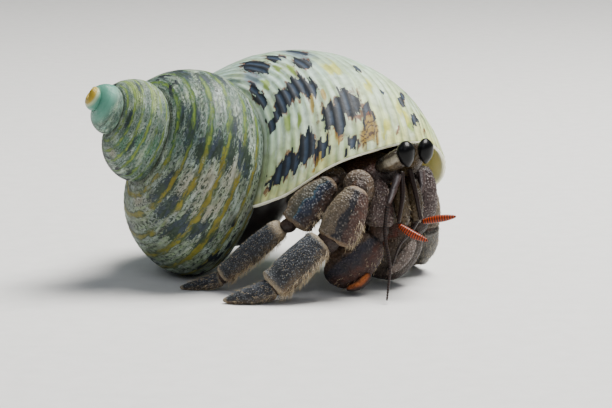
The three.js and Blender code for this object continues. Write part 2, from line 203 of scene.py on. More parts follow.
def bent_grid(name, columns, rows, places, lay_u, lay_v):
    """Adds a flat grid, moves it to places[row, column] and closes its seam and ends.
    Its UV map Lay holds lay_u across the columns and lay_v along the rows."""
    bpy.ops.object.select_all(action="DESELECT")
    bpy.ops.mesh.primitive_grid_add(x_subdivisions=columns, y_subdivisions=rows, size=2)
    piece = bpy.context.object
    piece.name = name
    piece.data.name = name
    mesh = piece.data
    flat = np.empty(len(mesh.vertices) * 3)
    mesh.vertices.foreach_get("co", flat)
    flat = flat.reshape(-1, 3)
    column = np.rint((flat[:, 0] + 1) / 2 * columns).astype(int)
    row = np.rint((flat[:, 1] + 1) / 2 * rows).astype(int)
    mesh.vertices.foreach_set("co", ((places[row, column] - MIDDLE) * MM).ravel())
    lay = mesh.uv_layers[0]
    lay.name = "Lay"
    spots = np.empty(len(mesh.loops) * 2)
    lay.data.foreach_get("uv", spots)
    spots = spots.reshape(-1, 2)
    u = np.interp(spots[:, 0], np.linspace(0, 1, columns + 1), lay_u)
    v = np.interp(spots[:, 1], np.linspace(0, 1, rows + 1), lay_v)
    lay.data.foreach_set("uv", np.stack([u, v], 1).ravel())
    bpy.ops.object.mode_set(mode="EDIT")
    bpy.ops.mesh.select_all(action="SELECT")
    bpy.ops.mesh.remove_doubles(threshold=WELD)
    bpy.ops.mesh.normals_make_consistent(inside=False)
    bpy.ops.object.mode_set(mode="OBJECT")
    bpy.ops.object.shade_smooth()
    return piece


OUTSIDE_ROWS = 300
LIP_ROWS = 6
INSIDE_ROWS = 84
OPEN_COLUMNS = 150
HIDDEN_COLUMNS = 28
HIDDEN_FROM = math.radians(20)
LIP_BULGE = 0.018
# Growth is in radians back from the lip. The cords fade out at the worn tip and are
# rubbed lower above the last whorl, and fine rings of growth cross them.
WORN_UP_TO = -19.0
WORN_OVER = 5.0
RUBBED_UP_TO = -5.2
RUBBED_OVER = 2.2
RUBBED_LEAST = 0.45
RING_HEIGHT = 0.05
RINGS = 21
RING_WANDER = 3
WANDERS = 5
visible = np.linspace(math.radians(-180), HIDDEN_FROM, OPEN_COLUMNS)
hidden = np.linspace(HIDDEN_FROM, math.radians(180), HIDDEN_COLUMNS)[1:]
angles = np.concatenate([visible, hidden])
round_lip = np.linspace(0, math.pi, LIP_ROWS + 1)
starts = np.concatenate(
    [
        [TIP_GROWTH],
        np.linspace(TIP_GROWTH, 0, OUTSIDE_ROWS),
        LIP_BULGE * np.sin(round_lip[1:]),
        np.linspace(0, CHAMBER, INSIDE_ROWS)[1:],
        [CHAMBER],
    ]
)
rows = len(starts)
lip_row = OUTSIDE_ROWS
wall = np.interp(-starts, [0, 1], [LIP_WALL, WALL])
inset = np.zeros(rows)
inset[lip_row + 1 : lip_row + 1 + LIP_ROWS] = LIP_WALL * (1 - np.cos(round_lip[1:])) / 2
inset[lip_row + 1 + LIP_ROWS :] = wall[lip_row + 1 + LIP_ROWS :]
reach = np.ones(rows)
reach[[0, -1]] = 0
START, ANGLE = np.meshgrid(starts, angles, indexing="ij")
worn_tip = np.clip((START - WORN_UP_TO) / WORN_OVER, 0, 1)
outside_only = (np.arange(rows) <= lip_row)[:, None]
rubbed = np.clip((START - RUBBED_UP_TO) / RUBBED_OVER, RUBBED_LEAST, 1)
cord_wave = np.cos(ANGLE * CORDS) * CORD_HEIGHT * worn_tip * rubbed * outside_only
ring_wave = np.sin(START * RINGS + RING_WANDER * np.sin(START * WANDERS)) * RING_HEIGHT
relief = cord_wave + ring_wave * worn_tip * outside_only
places = tube_point(START, ANGLE, inset[:, None] - relief, reach[:, None])
places[..., 2] = np.maximum(places[..., 2], 0)
shell = bent_grid(
    "shell_wall", len(angles) - 1, rows - 1, places,
    angles / math.tau + 0.5,
    np.concatenate([starts[: lip_row + 1] / math.tau, 1 - starts[lip_row + 1 :] / math.tau]),
)
for face in shell.data.polygons:
    lay_v = shell.data.uv_layers["Lay"].data[face.loop_start].uv[1]
    face.material_index = int(lay_v > 0.5)
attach(shell, "root")
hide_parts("shell")

# The core is the solid pillar that the whorls are built round, closed at its foot. Its
# Lay map starts past 1, which is the lip, so that its nacre takes the near-black brown of
# the inside: painted shade, as the core lies in the shade under the shell.
CORE_SLOPE = 0.33
CORE_START = 4.0
CORE_END = 31.0
CORE_ROWS = 30
CORE_COLUMNS = 32
core_share = np.linspace(0, 1, CORE_ROWS + 1)
drop = CORE_START + (CORE_END - CORE_START) * core_share
radius = CORE_SLOPE * drop * np.sqrt(1 - 0.8 * np.maximum(0, 4 * core_share - 3) ** 2)
radius[[0, -1]] = 0
turns = np.linspace(-math.pi, math.pi, CORE_COLUMNS + 1)
DROP, TURNS = np.meshgrid(drop, turns, indexing="ij")
RADIUS = np.repeat(radius[:, None], CORE_COLUMNS + 1, axis=1)
core = bent_grid(
    "shell_core", CORE_COLUMNS, CORE_ROWS, coil_point(TURNS, RADIUS, DROP),
    turns / math.tau + 0.5, 1.2 + core_share,
)
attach(core, "root")

# Aragonite and its brown horny skin, worn by the sand: a satin, chalky surface.
# The colour is laid down cord by cord as the lip grows, so every patch ends in steps.
# Places are in degrees of growth back from the lip, degrees round the tube, half sizes
# of both, and for the coloured ones a colour.
SLATE = "34455A"
INDIGO = "121A24"
RUST = "6A3008"
OCHRE = "96780F"
LIME = "7E9630"
LEMON = "BDBE46"
MOSS = "1D2F22"
EMERALD = "2F6E48"
CLOUD = "6C7E8C"
CREAM = "9C9884"
INK_ON_LAST_WHORL = [
    (-21, -110, 7, 12), (-48, -132, 6, 7), (-40, -124, 5, 4.5), (-50, -144, 6.5, 7.5),
    (-48, -156, 4, 5), (-12, -148, 5.5, 10), (-14, -134, 7, 5.5), (-9, -124, 3.5, 4.5),
    (-84, -137, 10, 7), (-82, -156, 5, 3.5), (-57, -116, 5, 5), (-64, -104, 6, 4),
    (-12, -94, 2.2, 4), (-3, -106, 2, 4), (-20, -62, 2.2, 4), (-9, -58, 2.2, 4.5),
    (-36, -84, 2.2, 2.4), (-24, -78, 1.2, 1.5), (-74, -122, 5, 5), (-70, -158, 6, 4),
]
INK_ON_UPPER_WHORLS = [
    (-342, -110, 11, 10), (-338, -96, 9, 10), (-336, -80, 10, 9), (-337, -64, 8, 8),
    (-366, -130, 22, 9), (-352, -80, 9, 7), (-308, -133, 18, 10), (-294, -117, 14, 9),
    (-279, -94, 12, 11), (-286, -76, 9, 9), (-281, -63, 9, 8), (-327, -54, 9, 7),
    (-403, -104, 12, 10), (-400, -80, 12, 10), (-430, -120, 18, 10), (-385, -148, 18, 7),
    (-703, -134, 20, 9), (-760, -110, 20, 9), (-660, -104, 14, 7),
]
CLOUDS_ON_UPPER_WHORLS = [
    (-658, -120, 16, 18, EMERALD), (-666, -92, 16, 18, EMERALD), (-660, -60, 18, 16, EMERALD),
    (-775, -128, 30, 14, LIME), (-742, -120, 28, 16, LIME), (-730, -78, 30, 11, LIME),
    (-598, -125, 12, 24, MOSS), (-590, -90, 14, 18, MOSS), (-630, -124, 11, 16, CREAM),
    (-540, -140, 40, 9, MOSS), (-500, -100, 16, 12, EMERALD), (-470, -70, 20, 10, MOSS),
    (-318, -112, 12, 12, CREAM), (-316, -92, 13, 13, CREAM), (-320, -70, 12, 11, CREAM),
    (-276, -144, 14, 10, CREAM), (-300, -78, 8, 20, CREAM),
]
COLOURED_PATCHES = [
    (-42, -102, 6, 7, LEMON), (-33, -127, 3.5, 2.6, OCHRE), (-12, -68, 4, 5, LEMON),
    (-26, -86, 4, 4, LEMON), (-36, -146, 6, 3, LIME), (-30, -138, 4, 2.2, LIME),
    (-66, -132, 4, 3, LIME), (-70, -148, 5, 4, LIME), (-33, -118, 3, 2, OCHRE),
    (-4, -126, 1.6, 4, OCHRE), (-7, -76, 1.4, 2, RUST), (-5, -84, 3, 4, LEMON),
    (-9, -65, 2.6, 3, LIME), (-12, -114, 2.5, 2.5, OCHRE), (-58, -126, 5, 3, LIME),
    (-4, -52, 1.2, 1.6, RUST), (-15, -98, 1.6, 5, RUST), (-51, -150, 5, 2.5, RUST),
    (-64, -106, 13, 9, CLOUD), (-84, -150, 9, 8, CLOUD),
]
UPPER_WHORLS = -210
CORD_JITTER = 7.0
THREAD_JITTER = 3.0
WAVER_JITTER = 9.0


def lay_of(tree):
    """The shares round and along a piece, from its UV map Lay."""
    lay = node(tree, "UVMap", uv_map="Lay")
    parts = node(tree, "SeparateXYZ", {0: lay})
    return parts.outputs[0], parts.outputs[1]


def share_of(tree, *shares):
    """Several shares multiplied. A share may be a value with the two limits between
    which it rises from 0 to 1, and with what it is at each limit."""
    result = None
    for share in shares:
        if isinstance(share, tuple):
            share = node(tree, "MapRange", dict(enumerate(share)))
        if result is not None:
            share = node(tree, "Math", {0: result, 1: share}, operation="MULTIPLY")
        result = share
    return result


def layer(tree, below, colour, *shares, mode="MIX"):
    """A colour laid over a paint, as strongly as the product of some shares."""
    above = linear(colour) if isinstance(colour, str) else colour
    strength = share_of(tree, *shares)
    return node(tree, "MixRGB", {0: strength, 1: below, 2: above}, blend_type=mode)


def wave(tree, value, period, crest=0.0):
    """A wave between -1 and 1 along a value, with a crest at one place and every period."""
    turn = math.tau / period
    phase = node(tree, "Math", {0: value, 1: turn, 2: -crest * turn}, operation="MULTIPLY_ADD")
    return node(tree, "Math", {0: phase}, operation="COSINE")


worn_shell, tree, shader = material("worn_turban_shell")
turns_round, turns_grown = lay_of(tree)
degrees_round = node(tree, "Math", {0: turns_round, 1: 360, 2: -180}, operation="MULTIPLY_ADD")
degrees_grown = node(tree, "Math", {0: turns_grown, 1: 360}, operation="MULTIPLY")
smooth_spot = node(tree, "CombineXYZ", {0: degrees_grown, 1: degrees_round})
waver = node(tree, "TexNoise", {0: smooth_spot, "Scale": 0.16, "Detail": 3})


def random_of_each(count):
    """A random share for each of some equal strips round the tube."""
    place = node(tree, "Math", {0: turns_round, 1: count, 2: 0.5}, operation="MULTIPLY_ADD")
    number = node(tree, "Math", {0: place}, operation="FLOOR")
    return node(tree, "TexWhiteNoise", {"W": number}, noise_dimensions="1D")


jagged = degrees_grown
for ragged_by, jitter in (
    (random_of_each(CORDS), CORD_JITTER), (random_of_each(2 * CORDS), THREAD_JITTER),
    (waver, WAVER_JITTER),
):
    centred = node(tree, "Math", {0: ragged_by, 1: -0.5})
    jagged = node(tree, "Math", {0: centred, 1: jitter, 2: jagged}, operation="MULTIPLY_ADD")
jagged_spot = node(tree, "CombineXYZ", {0: jagged, 1: degrees_round})


def along_growth(stops):
    """A colour that changes with the degrees of growth, from the first stop to the lip."""
    low = stops[0][0]
    way = share_of(tree, (degrees_grown, low, 0))
    spread = [((place - low) / -low, colour) for place, colour in stops]
    return node(tree, "ValToRGB", {0: way}, stops=spread)


def share_along_growth(stops):
    """The same with a share, given as greys, from black for 0 to white for 1."""
    return node(tree, "SeparateColor", {0: along_growth(stops)})


def patches(size_grown, size_round, low, high, seed):
    """A share from 0 to 1: soft noise, stretched along the cords and cut at low and high."""
    scaled = node(
        tree, "Mapping",
        {0: jagged_spot, 1: (seed, seed, 0), 3: (1 / size_grown, 1 / size_round, 1)},
    )
    noise = node(tree, "TexNoise", {0: scaled, "Scale": 1, "Detail": 2})
    return share_of(tree, (noise, low, high))


def within(grown, round_at, half_grown, half_round, after=0.0):
    """How deep a place lies in an ellipse: 1 at its middle and 0 at its edge. It is
    worked out after another value, because a shader holds only so many at once."""
    place = node(tree, "CombineXYZ", {0: jagged, 1: degrees_round, 2: after})
    centred = node(
        tree, "Mapping",
        {0: place, 1: (-grown / half_grown, -round_at / half_round, 0),
         3: (1 / half_grown, 1 / half_round, 0)},
    )
    away = node(tree, "VectorMath", {0: centred}, operation="LENGTH").outputs["Value"]
    return node(tree, "Math", {0: 1, 1: away}, operation="SUBTRACT")


def deepest(ellipses, frayed, fray):
    """The greatest depth in any of some ellipses, frayed at their edges by a share."""
    depth = within(*ellipses[0])
    for ellipse in ellipses[1:]:
        inside = within(*ellipse, depth)
        depth = node(tree, "Math", {0: depth, 1: inside}, operation="MAXIMUM")
    return node(tree, "Math", {0: frayed, 1: fray, 2: depth}, operation="MULTIPLY_ADD")


def dabbed(paint, ellipses, rim, full, strength):
    """A paint with ellipses dabbed on, one after another, each in its own colour."""
    depth = 0.0
    for *place, colour in ellipses:
        depth = within(*place, depth)
        paint = layer(tree, paint, colour, (depth, rim, full), strength)
    return paint


# The ground runs from mint at the tip to lemon at the lip. From about 300 to 200 degrees
# back, at the bottom of the penultimate whorl on its near side, it turns dark olive: painted
# shade, where shade falls under that whorl. A stain, milky clouds and greenish smears along
# the cords lie on it.
paint = along_growth(
    [(-1500, "5F9384"), (-960, "6FA392"), (-860, "80907E"), (-480, "5C6C68"),
     (-340, "626C66"), (-300, "6A685A"), (-262, "474936"), (-235, "434633"), (-200, "8CA098"),
     (-110, "98B4AC"), (-45, "B2D2C4"), (-15, "CCDCA4"), (0, "DCDE8E")]
)
for colour, *patch, strength in (
    ("98A886", 34, 30, 0.42, 0.62, 3.0, 0.6), ("C4D6D0", 12, 14, 0.46, 0.62, 11.0, 0.5),
    ("97B07C", 15, 3.0, 0.50, 0.62, 71.0, 0.6),
):
    paint = layer(tree, paint, colour, patches(*patch), strength)

# A grey-green cast lies over the upper turns in clouds, finely mottled.
cast_side = share_along_growth(
    [(-900, "FFFFFF"), (-350, "FFFFFF"), (-325, "A0A0A0"), (-240, "B0B0B0"), (-200, "202020")]
)
paint = layer(tree, paint, "2C5044", patches(24, 20, 0.36, 0.54, 51.0), cast_side, 0.85)
paint = dabbed(paint, CLOUDS_ON_UPPER_WHORLS, -0.05, 0.6, 0.8)
upper = (degrees_grown, UPPER_WHORLS, UPPER_WHORLS - 30)
paint = layer(tree, paint, "B8BCB8", patches(3.2, 3.6, 0.40, 0.62, 81.0), upper, 0.3)

# Ink on the upper turns is worn through in specks, so that it never ends sharply.
worn_depth = deepest(INK_ON_UPPER_WHORLS, patches(2.1, 2.8, 0.30, 0.70, 61.0), 0.9)
ink_tone = layer(tree, linear(MOSS), "222E40", patches(12, 9, 0.45, 0.55, 91.0))
paint = layer(tree, paint, ink_tone, (worn_depth, 0.30, 0.62), 0.92)
speck_cloud = patches(24, 16, 0.34, 0.50, 62.0)
loose_specks = patches(2.0, 2.6, 0.53, 0.59, 63.0)
speck_fade = share_along_growth(
    [(-900, "FFFFFF"), (-230, "FFFFFF"), (-140, "606060"), (-30, "080808"), (0, "000000")]
)
paint = layer(tree, paint, "25352A", speck_cloud, loose_specks, speck_fade, 0.85)

# Coloured cords, evenly spaced round the tube: green up to the shoulder's turn and
# yellow past it, each one broken into lengths, with green edges.
BAND_STEP = 22.0
BAND_AT = -104.0
BAND_WANDER = 5.6
wandering = node(
    tree, "Math", {0: waver, 1: BAND_WANDER, 2: degrees_round}, operation="MULTIPLY_ADD"
)
band_wave = wave(tree, wandering, BAND_STEP, BAND_AT)
band_fade = share_along_growth(
    [(-900, "000000"), (-860, "FFFFFF"), (-240, "FFFFFF"), (-120, "505050"), (0, "202020")]
)
band_edge = along_growth(
    [(-900, "5F7A3C"), (-640, "47653A"), (-600, "2C4A2E"), (-350, "33532F"),
     (-325, "3F4C26"), (-250, "3A4824"), (-200, "6C7A3C"), (0, "A9B07A")]
)
band_heart = along_growth(
    [(-900, "7F9A4C"), (-640, "7A8C3C"), (-600, "4C6C30"), (-350, "62782C"),
     (-325, "7E7424"), (-250, "7A7628"), (-200, "7C7C3C"), (0, "CFC88A")]
)
band_breadth = node(
    tree, "Math", {0: patches(9, 7, 0.3, 0.7, 23.0), 1: 0.8, 2: band_wave},
    operation="MULTIPLY_ADD",
)
band_lengths = patches(26, 14, 0.36, 0.5, 21.0)
band_holes = (patches(2.6, 4.0, 0.34, 0.46, 24.0), 0, 1, 0.35, 1)
band_share = share_of(tree, (band_breadth, 0.72, 0.95), band_lengths, band_fade, band_holes)
paint = layer(tree, paint, band_edge, band_share, 0.85)
paint = layer(tree, paint, band_heart, (band_breadth, 1.12, 1.32), band_share)

# Midway between them, cords are dotted with dark beads.
BEAD_STEP = 5.0
beads = share_of(
    tree, (wave(tree, jagged, BEAD_STEP), 0.2, 0.6), (band_wave, -0.84, -0.95), band_fade,
    patches(30, 14, 0.40, 0.50, 25.0),
)
paint = layer(tree, paint, "1C2A20", beads, 0.85)

# On the sides that the placed ink doesn't cover, blotches of the same kind follow
# a noise field.
far_side = share_along_growth(
    [(-1100, "000000"), (-900, "FFFFFF"), (-820, "FFFFFF"), (-800, "000000"),
     (-630, "000000"), (-610, "FFFFFF"), (-430, "FFFFFF"), (-410, "000000"),
     (-250, "000000"), (-230, "FFFFFF"), (-110, "FFFFFF"), (-90, "000000")]
)
paint = layer(tree, paint, INDIGO, patches(20, 15, 0.57, 0.60, 41.0), far_side)
far_lip = share_of(
    tree, (degrees_round, -50, -44), (degrees_grown, -300, -290), (degrees_grown, -4, -12)
)
paint = layer(tree, paint, INDIGO, far_lip, patches(13, 11, 0.57, 0.60, 43.0))
paint = dabbed(paint, COLOURED_PATCHES, -0.1, 0.35, 0.85)

# Near the lip a patch of ochre is crossed by thin brown growth lines.
GROWTH_LINE_STEP = 2.4
zone = share_of(tree, (within(-6, -95, 7, 7), 0.0, 0.25))
paint = layer(tree, paint, "8A6808", zone, 0.9)
lines = (wave(tree, jagged, GROWTH_LINE_STEP), 0.2, 0.7)
paint = layer(tree, paint, "3C2214", lines, zone, 0.9)

# The ink on the last whorl is whole: slate on the crests, indigo in the hollows and
# at the edge, with a rusty rim.
cord_crest = wave(tree, turns_round, 1 / CORDS, 0.5 / CORDS)
ink_depth = deepest(INK_ON_LAST_WHORL, patches(3.0, 3.4, 0.3, 0.7, 95.0), 0.5)
rust_spots = patches(5, 5, 0.46, 0.56, 97.0)
paint = layer(tree, paint, RUST, (ink_depth, -0.16, 0.04), rust_spots, 0.85)
paint = layer(tree, paint, INDIGO, (ink_depth, 0.10, 0.17))
paint = layer(tree, paint, SLATE, (cord_crest, 0.4, -0.6), (ink_depth, 0.25, 0.5), 0.6)

# A dark brown line is laid along the suture, where one whorl meets the next.
paint = layer(tree, paint, "2E281E", (degrees_round, -158, -168), 0.75)

# Painted shade across the cord relief: a grey multiply follows each cord's wave and is
# darkest where the wave is at its crest, and stronger near the lip.
cord_shade_tone = node(
    tree, "ValToRGB", {0: share_of(tree, (cord_crest, 1, -1))},
    stops=[(0.0, "A9ABA0"), (0.4, "E4E4E0"), (1.0, "FFFFFF")],
)
cord_shade_share = share_along_growth(
    [(-900, "909090"), (-230, "909090"), (-150, "C0C0C0"), (0, "C0C0C0")]
)
paint = layer(tree, paint, cord_shade_tone, cord_shade_share, mode="MULTIPLY")
shell_spot = node(tree, "TexCoord").outputs["Object"]
grime = node(tree, "TexNoise", {0: shell_spot, "Scale": 900, "Detail": 5})
grime_tone = node(tree, "ValToRGB", {0: grime}, stops=[(0.3, "B9B7AC"), (0.6, "FFFFFF")])
paint = layer(tree, paint, grime_tone, 0.6, mode="MULTIPLY")

# The tip is rubbed down to ochre and mint nacre, and is glossier than the rest.
TIP_PLACE = [(k - m) * MM for k, m in zip(APEX, MIDDLE)]
from_tip = node(
    tree, "VectorMath", {0: shell_spot, 1: TIP_PLACE}, operation="DISTANCE"
).outputs["Value"]
tip_colour = node(
    tree, "ValToRGB", {0: share_of(tree, (from_tip, 0, 0.006))},
    stops=[(0.0, "2A2A18"), (0.20, "3A3418"), (0.24, "8E7A20"), (0.34, "A88E2C"), (0.38, "A2B48E"),
           (0.44, "4F8674"), (1.0, "5F9582")],
)
paint = layer(tree, paint, tip_colour, (from_tip, 0.0050, 0.0042))
tree.links.new(paint.outputs[0], shader.inputs["Base Color"])
rough = share_of(tree, (grime, 0, 1, 0.72, 0.5), (from_tip, 0.0038, 0.0048, 0.4, 1))
tree.links.new(rough.outputs[0], shader.inputs["Roughness"])
shader.inputs["Specular IOR Level"].default_value = 0.3
scratch_spot = node(tree, "Mapping", {0: smooth_spot, 3: (2.2, 0.12, 1)})
growth_line = node(tree, "TexNoise", {0: scratch_spot, "Scale": 1, "Detail": 3})
heights = node(tree, "Math", {0: growth_line, 1: 0.6, 2: grime}, operation="MULTIPLY_ADD")
bump = node(tree, "Bump", {"Strength": 0.5, "Distance": 0.00012, "Height": heights})
tree.links.new(bump.outputs[0], shader.inputs["Normal"])
shell.data.materials.append(worn_shell)

# Nacre, laid in thin smooth sheets: cream with a soft shine. At the lip the cream is paler,
# partly painted light for the light that shines through the thin edge; deeper inside it
# turns near-black brown, painted shade, as the inside of the mouth lies in shade.
nacre, tree, shader = material("cream_nacre")
from_lip = share_of(tree, (lay_of(tree)[1], 1.0, 1.25))
cream = node(
    tree, "ValToRGB", {0: from_lip},
    stops=[(0.0, "F0EED2"), (0.10, "ECE8CC"), (0.17, "A98C48"), (0.25, "4A2C1A"), (0.5, "22150F"),
           (1.0, "1C120E")],
)
tree.links.new(cream.outputs[0], shader.inputs["Base Color"])
shader.inputs["Roughness"].default_value = 0.3
shader.inputs["Subsurface Weight"].default_value = 0.6
shader.inputs["Subsurface Radius"].default_value = (1.0, 0.95, 0.8)
shader.inputs["Subsurface Scale"].default_value = 0.001
shell.data.materials.append(nacre)
core.data.materials.append(nacre)

# ---- The crust of the limbs ----------------------------------------------
# Every segment is a hard tube of chitin and lime, narrower where it enters the one
# before it. It is swept as an oval section along its own line, blunt at both ends, and
# its grains stand out of the surface.
CURVE_STEPS = 240


def run_along(points, share):
    """Places at shares of a smooth curve's length through the points, and its direction."""
    knots = np.array(points, float)
    knots = np.vstack([2 * knots[0] - knots[1], knots, 2 * knots[-1] - knots[-2]])
    fine = np.linspace(0, len(points) - 1, CURVE_STEPS)
    k = np.minimum(fine.astype(int), len(points) - 2)
    curve = catmull(*[knots[k + n] for n in range(4)], (fine - k)[:, None])
    run = np.concatenate([[0], np.cumsum(np.linalg.norm(np.diff(curve, axis=0), axis=1))])
    forward = np.gradient(curve, axis=0)
    forward /= np.linalg.norm(forward, axis=1)[:, None]
    at = np.asarray(share) * run[-1]
    place = np.stack([np.interp(at, run, curve[:, n]) for n in range(3)], -1)
    direction = np.stack([np.interp(at, run, forward[:, n]) for n in range(3)], -1)
    return place, direction / np.linalg.norm(direction, axis=-1)[..., None]


def even_values(values, share):
    """A smooth value at each share, through evenly spaced values."""
    knots = np.array([values[0], *values, values[-1]], float)
    x = np.clip(share, 0, 1) * (len(values) - 1)
    k = np.minimum(x.astype(int), len(values) - 2)
    return catmull(*[knots[k + n] for n in range(4)], x - k)


def limb_point(form, share, angle):
    """Places on a limb's surface. Angle 0 is its side, and 90 degrees the way it faces.
    An end closes over the share called cap, blunt squares that end and boxy the section."""
    middle, forward = run_along(form["points"], share)
    side = np.cross(forward, np.array(form["facing"], float))
    side /= np.linalg.norm(side, axis=-1)[..., None]
    front = np.cross(side, forward)
    end = np.minimum(share, 1 - share) / form.get("cap", 0.13)
    power = form.get("blunt", 2.6)
    bulge = (1 - np.clip(1 - end, 0, 1) ** power) ** (1 / power)
    boxy = 2 / form.get("boxy", 2.3)
    cosine, sine = np.cos(angle), np.sin(angle)
    swell = form["relief"](share, angle) if "relief" in form else 0
    half_wide = (even_values(form["wide"], share) + swell) * bulge
    half_deep = (even_values(form["deep"], share) + swell) * bulge
    across = half_wide * np.sign(cosine) * np.abs(cosine) ** boxy
    out = half_deep * np.sign(sine) * np.abs(sine) ** boxy
    return middle + across[..., None] * side + out[..., None] * front


# Height in millimetres, share of the length and half breadth of each swelling.
KNUCKLES = ((0.10, 0.10, 0.035), (0.13, 0.92, 0.035), (-0.10, 0.80, 0.06))


def knuckles(share, angle):
    """A rolled rim near each end, and a shallow waist behind the outer one."""
    return sum(high * np.exp(-(((share - at) / half) ** 2)) for high, at, half in KNUCKLES)


def ringed(count, height):
    """Low rings along a piece, as many as this and as high as this in millimetres."""
    return lambda share, angle: height * np.cos(share * count * math.tau)


FLOOR_CLEARANCE = 0.06


def sweep(name, form, columns=72, rows=64):
    """A closed limb: its rows stand closer together toward both ends."""
    share = (1 - np.cos(np.linspace(0, math.pi, rows + 1))) / 2
    angle = np.linspace(-math.pi, math.pi, columns + 1)
    SHARE, ROUND = np.meshgrid(share, angle, indexing="ij")
    surface = limb_point(form, SHARE, ROUND)
    surface[..., 2] = np.maximum(surface[..., 2], FLOOR_CLEARANCE)
    return bent_grid(name, columns, rows, surface, angle / math.tau + 0.5, share)


def roughen(piece, grain, height):
    """Raises grains of this width and height, in millimetres, out of the surface."""
    texture = bpy.data.textures.new(piece.name + "_grain", type="VORONOI")
    texture.noise_scale = grain * MM
    bpy.context.view_layer.objects.active = piece
    lift = piece.modifiers.new("grain", "DISPLACE")
    lift.texture = texture
    lift.texture_coords = "LOCAL"
    lift.strength = height * MM
    lift.mid_level = 0.5
    bpy.ops.object.modifier_apply(modifier=lift.name)


# Calcified chitin: a dull crust with a grain of small rounded knobs, their tips worn
# pale. Its colours lie in lengthwise bands, so they follow the angle round the limb.
def crust(name, across, ends, tips, grain=0.3, tip_share=0.4, rough=0.5, mottle=0.6, rim=None):
    """Bands of colour from the side at 180 degrees to the side at 0, toned along by ends."""
    made, tree, shader = material(name)
    turns_round, share_along = lay_of(tree)
    place = node(tree, "TexCoord").outputs["Object"]
    waver = node(tree, "TexNoise", {0: place, "Scale": 700, "Detail": 3})
    side = wave(tree, turns_round, 1, 0.5)
    way = node(tree, "Math", {0: waver, 1: 0.7, 2: side}, operation="MULTIPLY_ADD")
    colour = node(tree, "ValToRGB", {0: share_of(tree, (way, -0.65, 1.35))}, stops=across)
    cloud = node(tree, "TexNoise", {0: place, "Scale": 1500, "Detail": 5, "Roughness": 0.7})
    clouds = node(tree, "ValToRGB", {0: cloud}, stops=[(0.35, "4A4644"), (0.62, "FFFFFF")])
    colour = layer(tree, colour, clouds, mottle, mode="MULTIPLY")
    end_tone = node(tree, "ValToRGB", {0: share_along}, stops=ends)
    colour = layer(tree, colour, end_tone, 1.0, mode="MULTIPLY")
    if rim:
        centred = node(tree, "Math", {0: share_along, 1: -0.5})
        edge = node(tree, "Math", {0: centred}, operation="ABSOLUTE")
        edge = node(tree, "Math", {0: cloud, 1: 0.08, 2: edge}, operation="MULTIPLY_ADD")
        colour = layer(tree, colour, rim, (edge, 0.44, 0.50, 0, 0.8))
    knob = node(tree, "TexVoronoi", {0: place, "Scale": 1000 / grain})
    knob_kind = node(tree, "SeparateColor", {0: knob.outputs["Color"]})
    colour = layer(tree, colour, tips, (knob, 0.5, 0.12, 0, tip_share), (knob_kind, 0.0, 0.9))
    tree.links.new(colour.outputs[0], shader.inputs["Base Color"])
    shader.inputs["Roughness"].default_value = rough
    shader.inputs["Specular IOR Level"].default_value = 0.35
    dome = share_of(tree, (knob, 0.6, 0.0))
    height = node(tree, "Math", {0: cloud, 1: 0.7, 2: dome}, operation="MULTIPLY_ADD")
    bump = node(tree, "Bump", {"Strength": 0.8, "Distance": 0.00014, "Height": height})
    tree.links.new(bump.outputs[0], shader.inputs["Normal"])
    return made


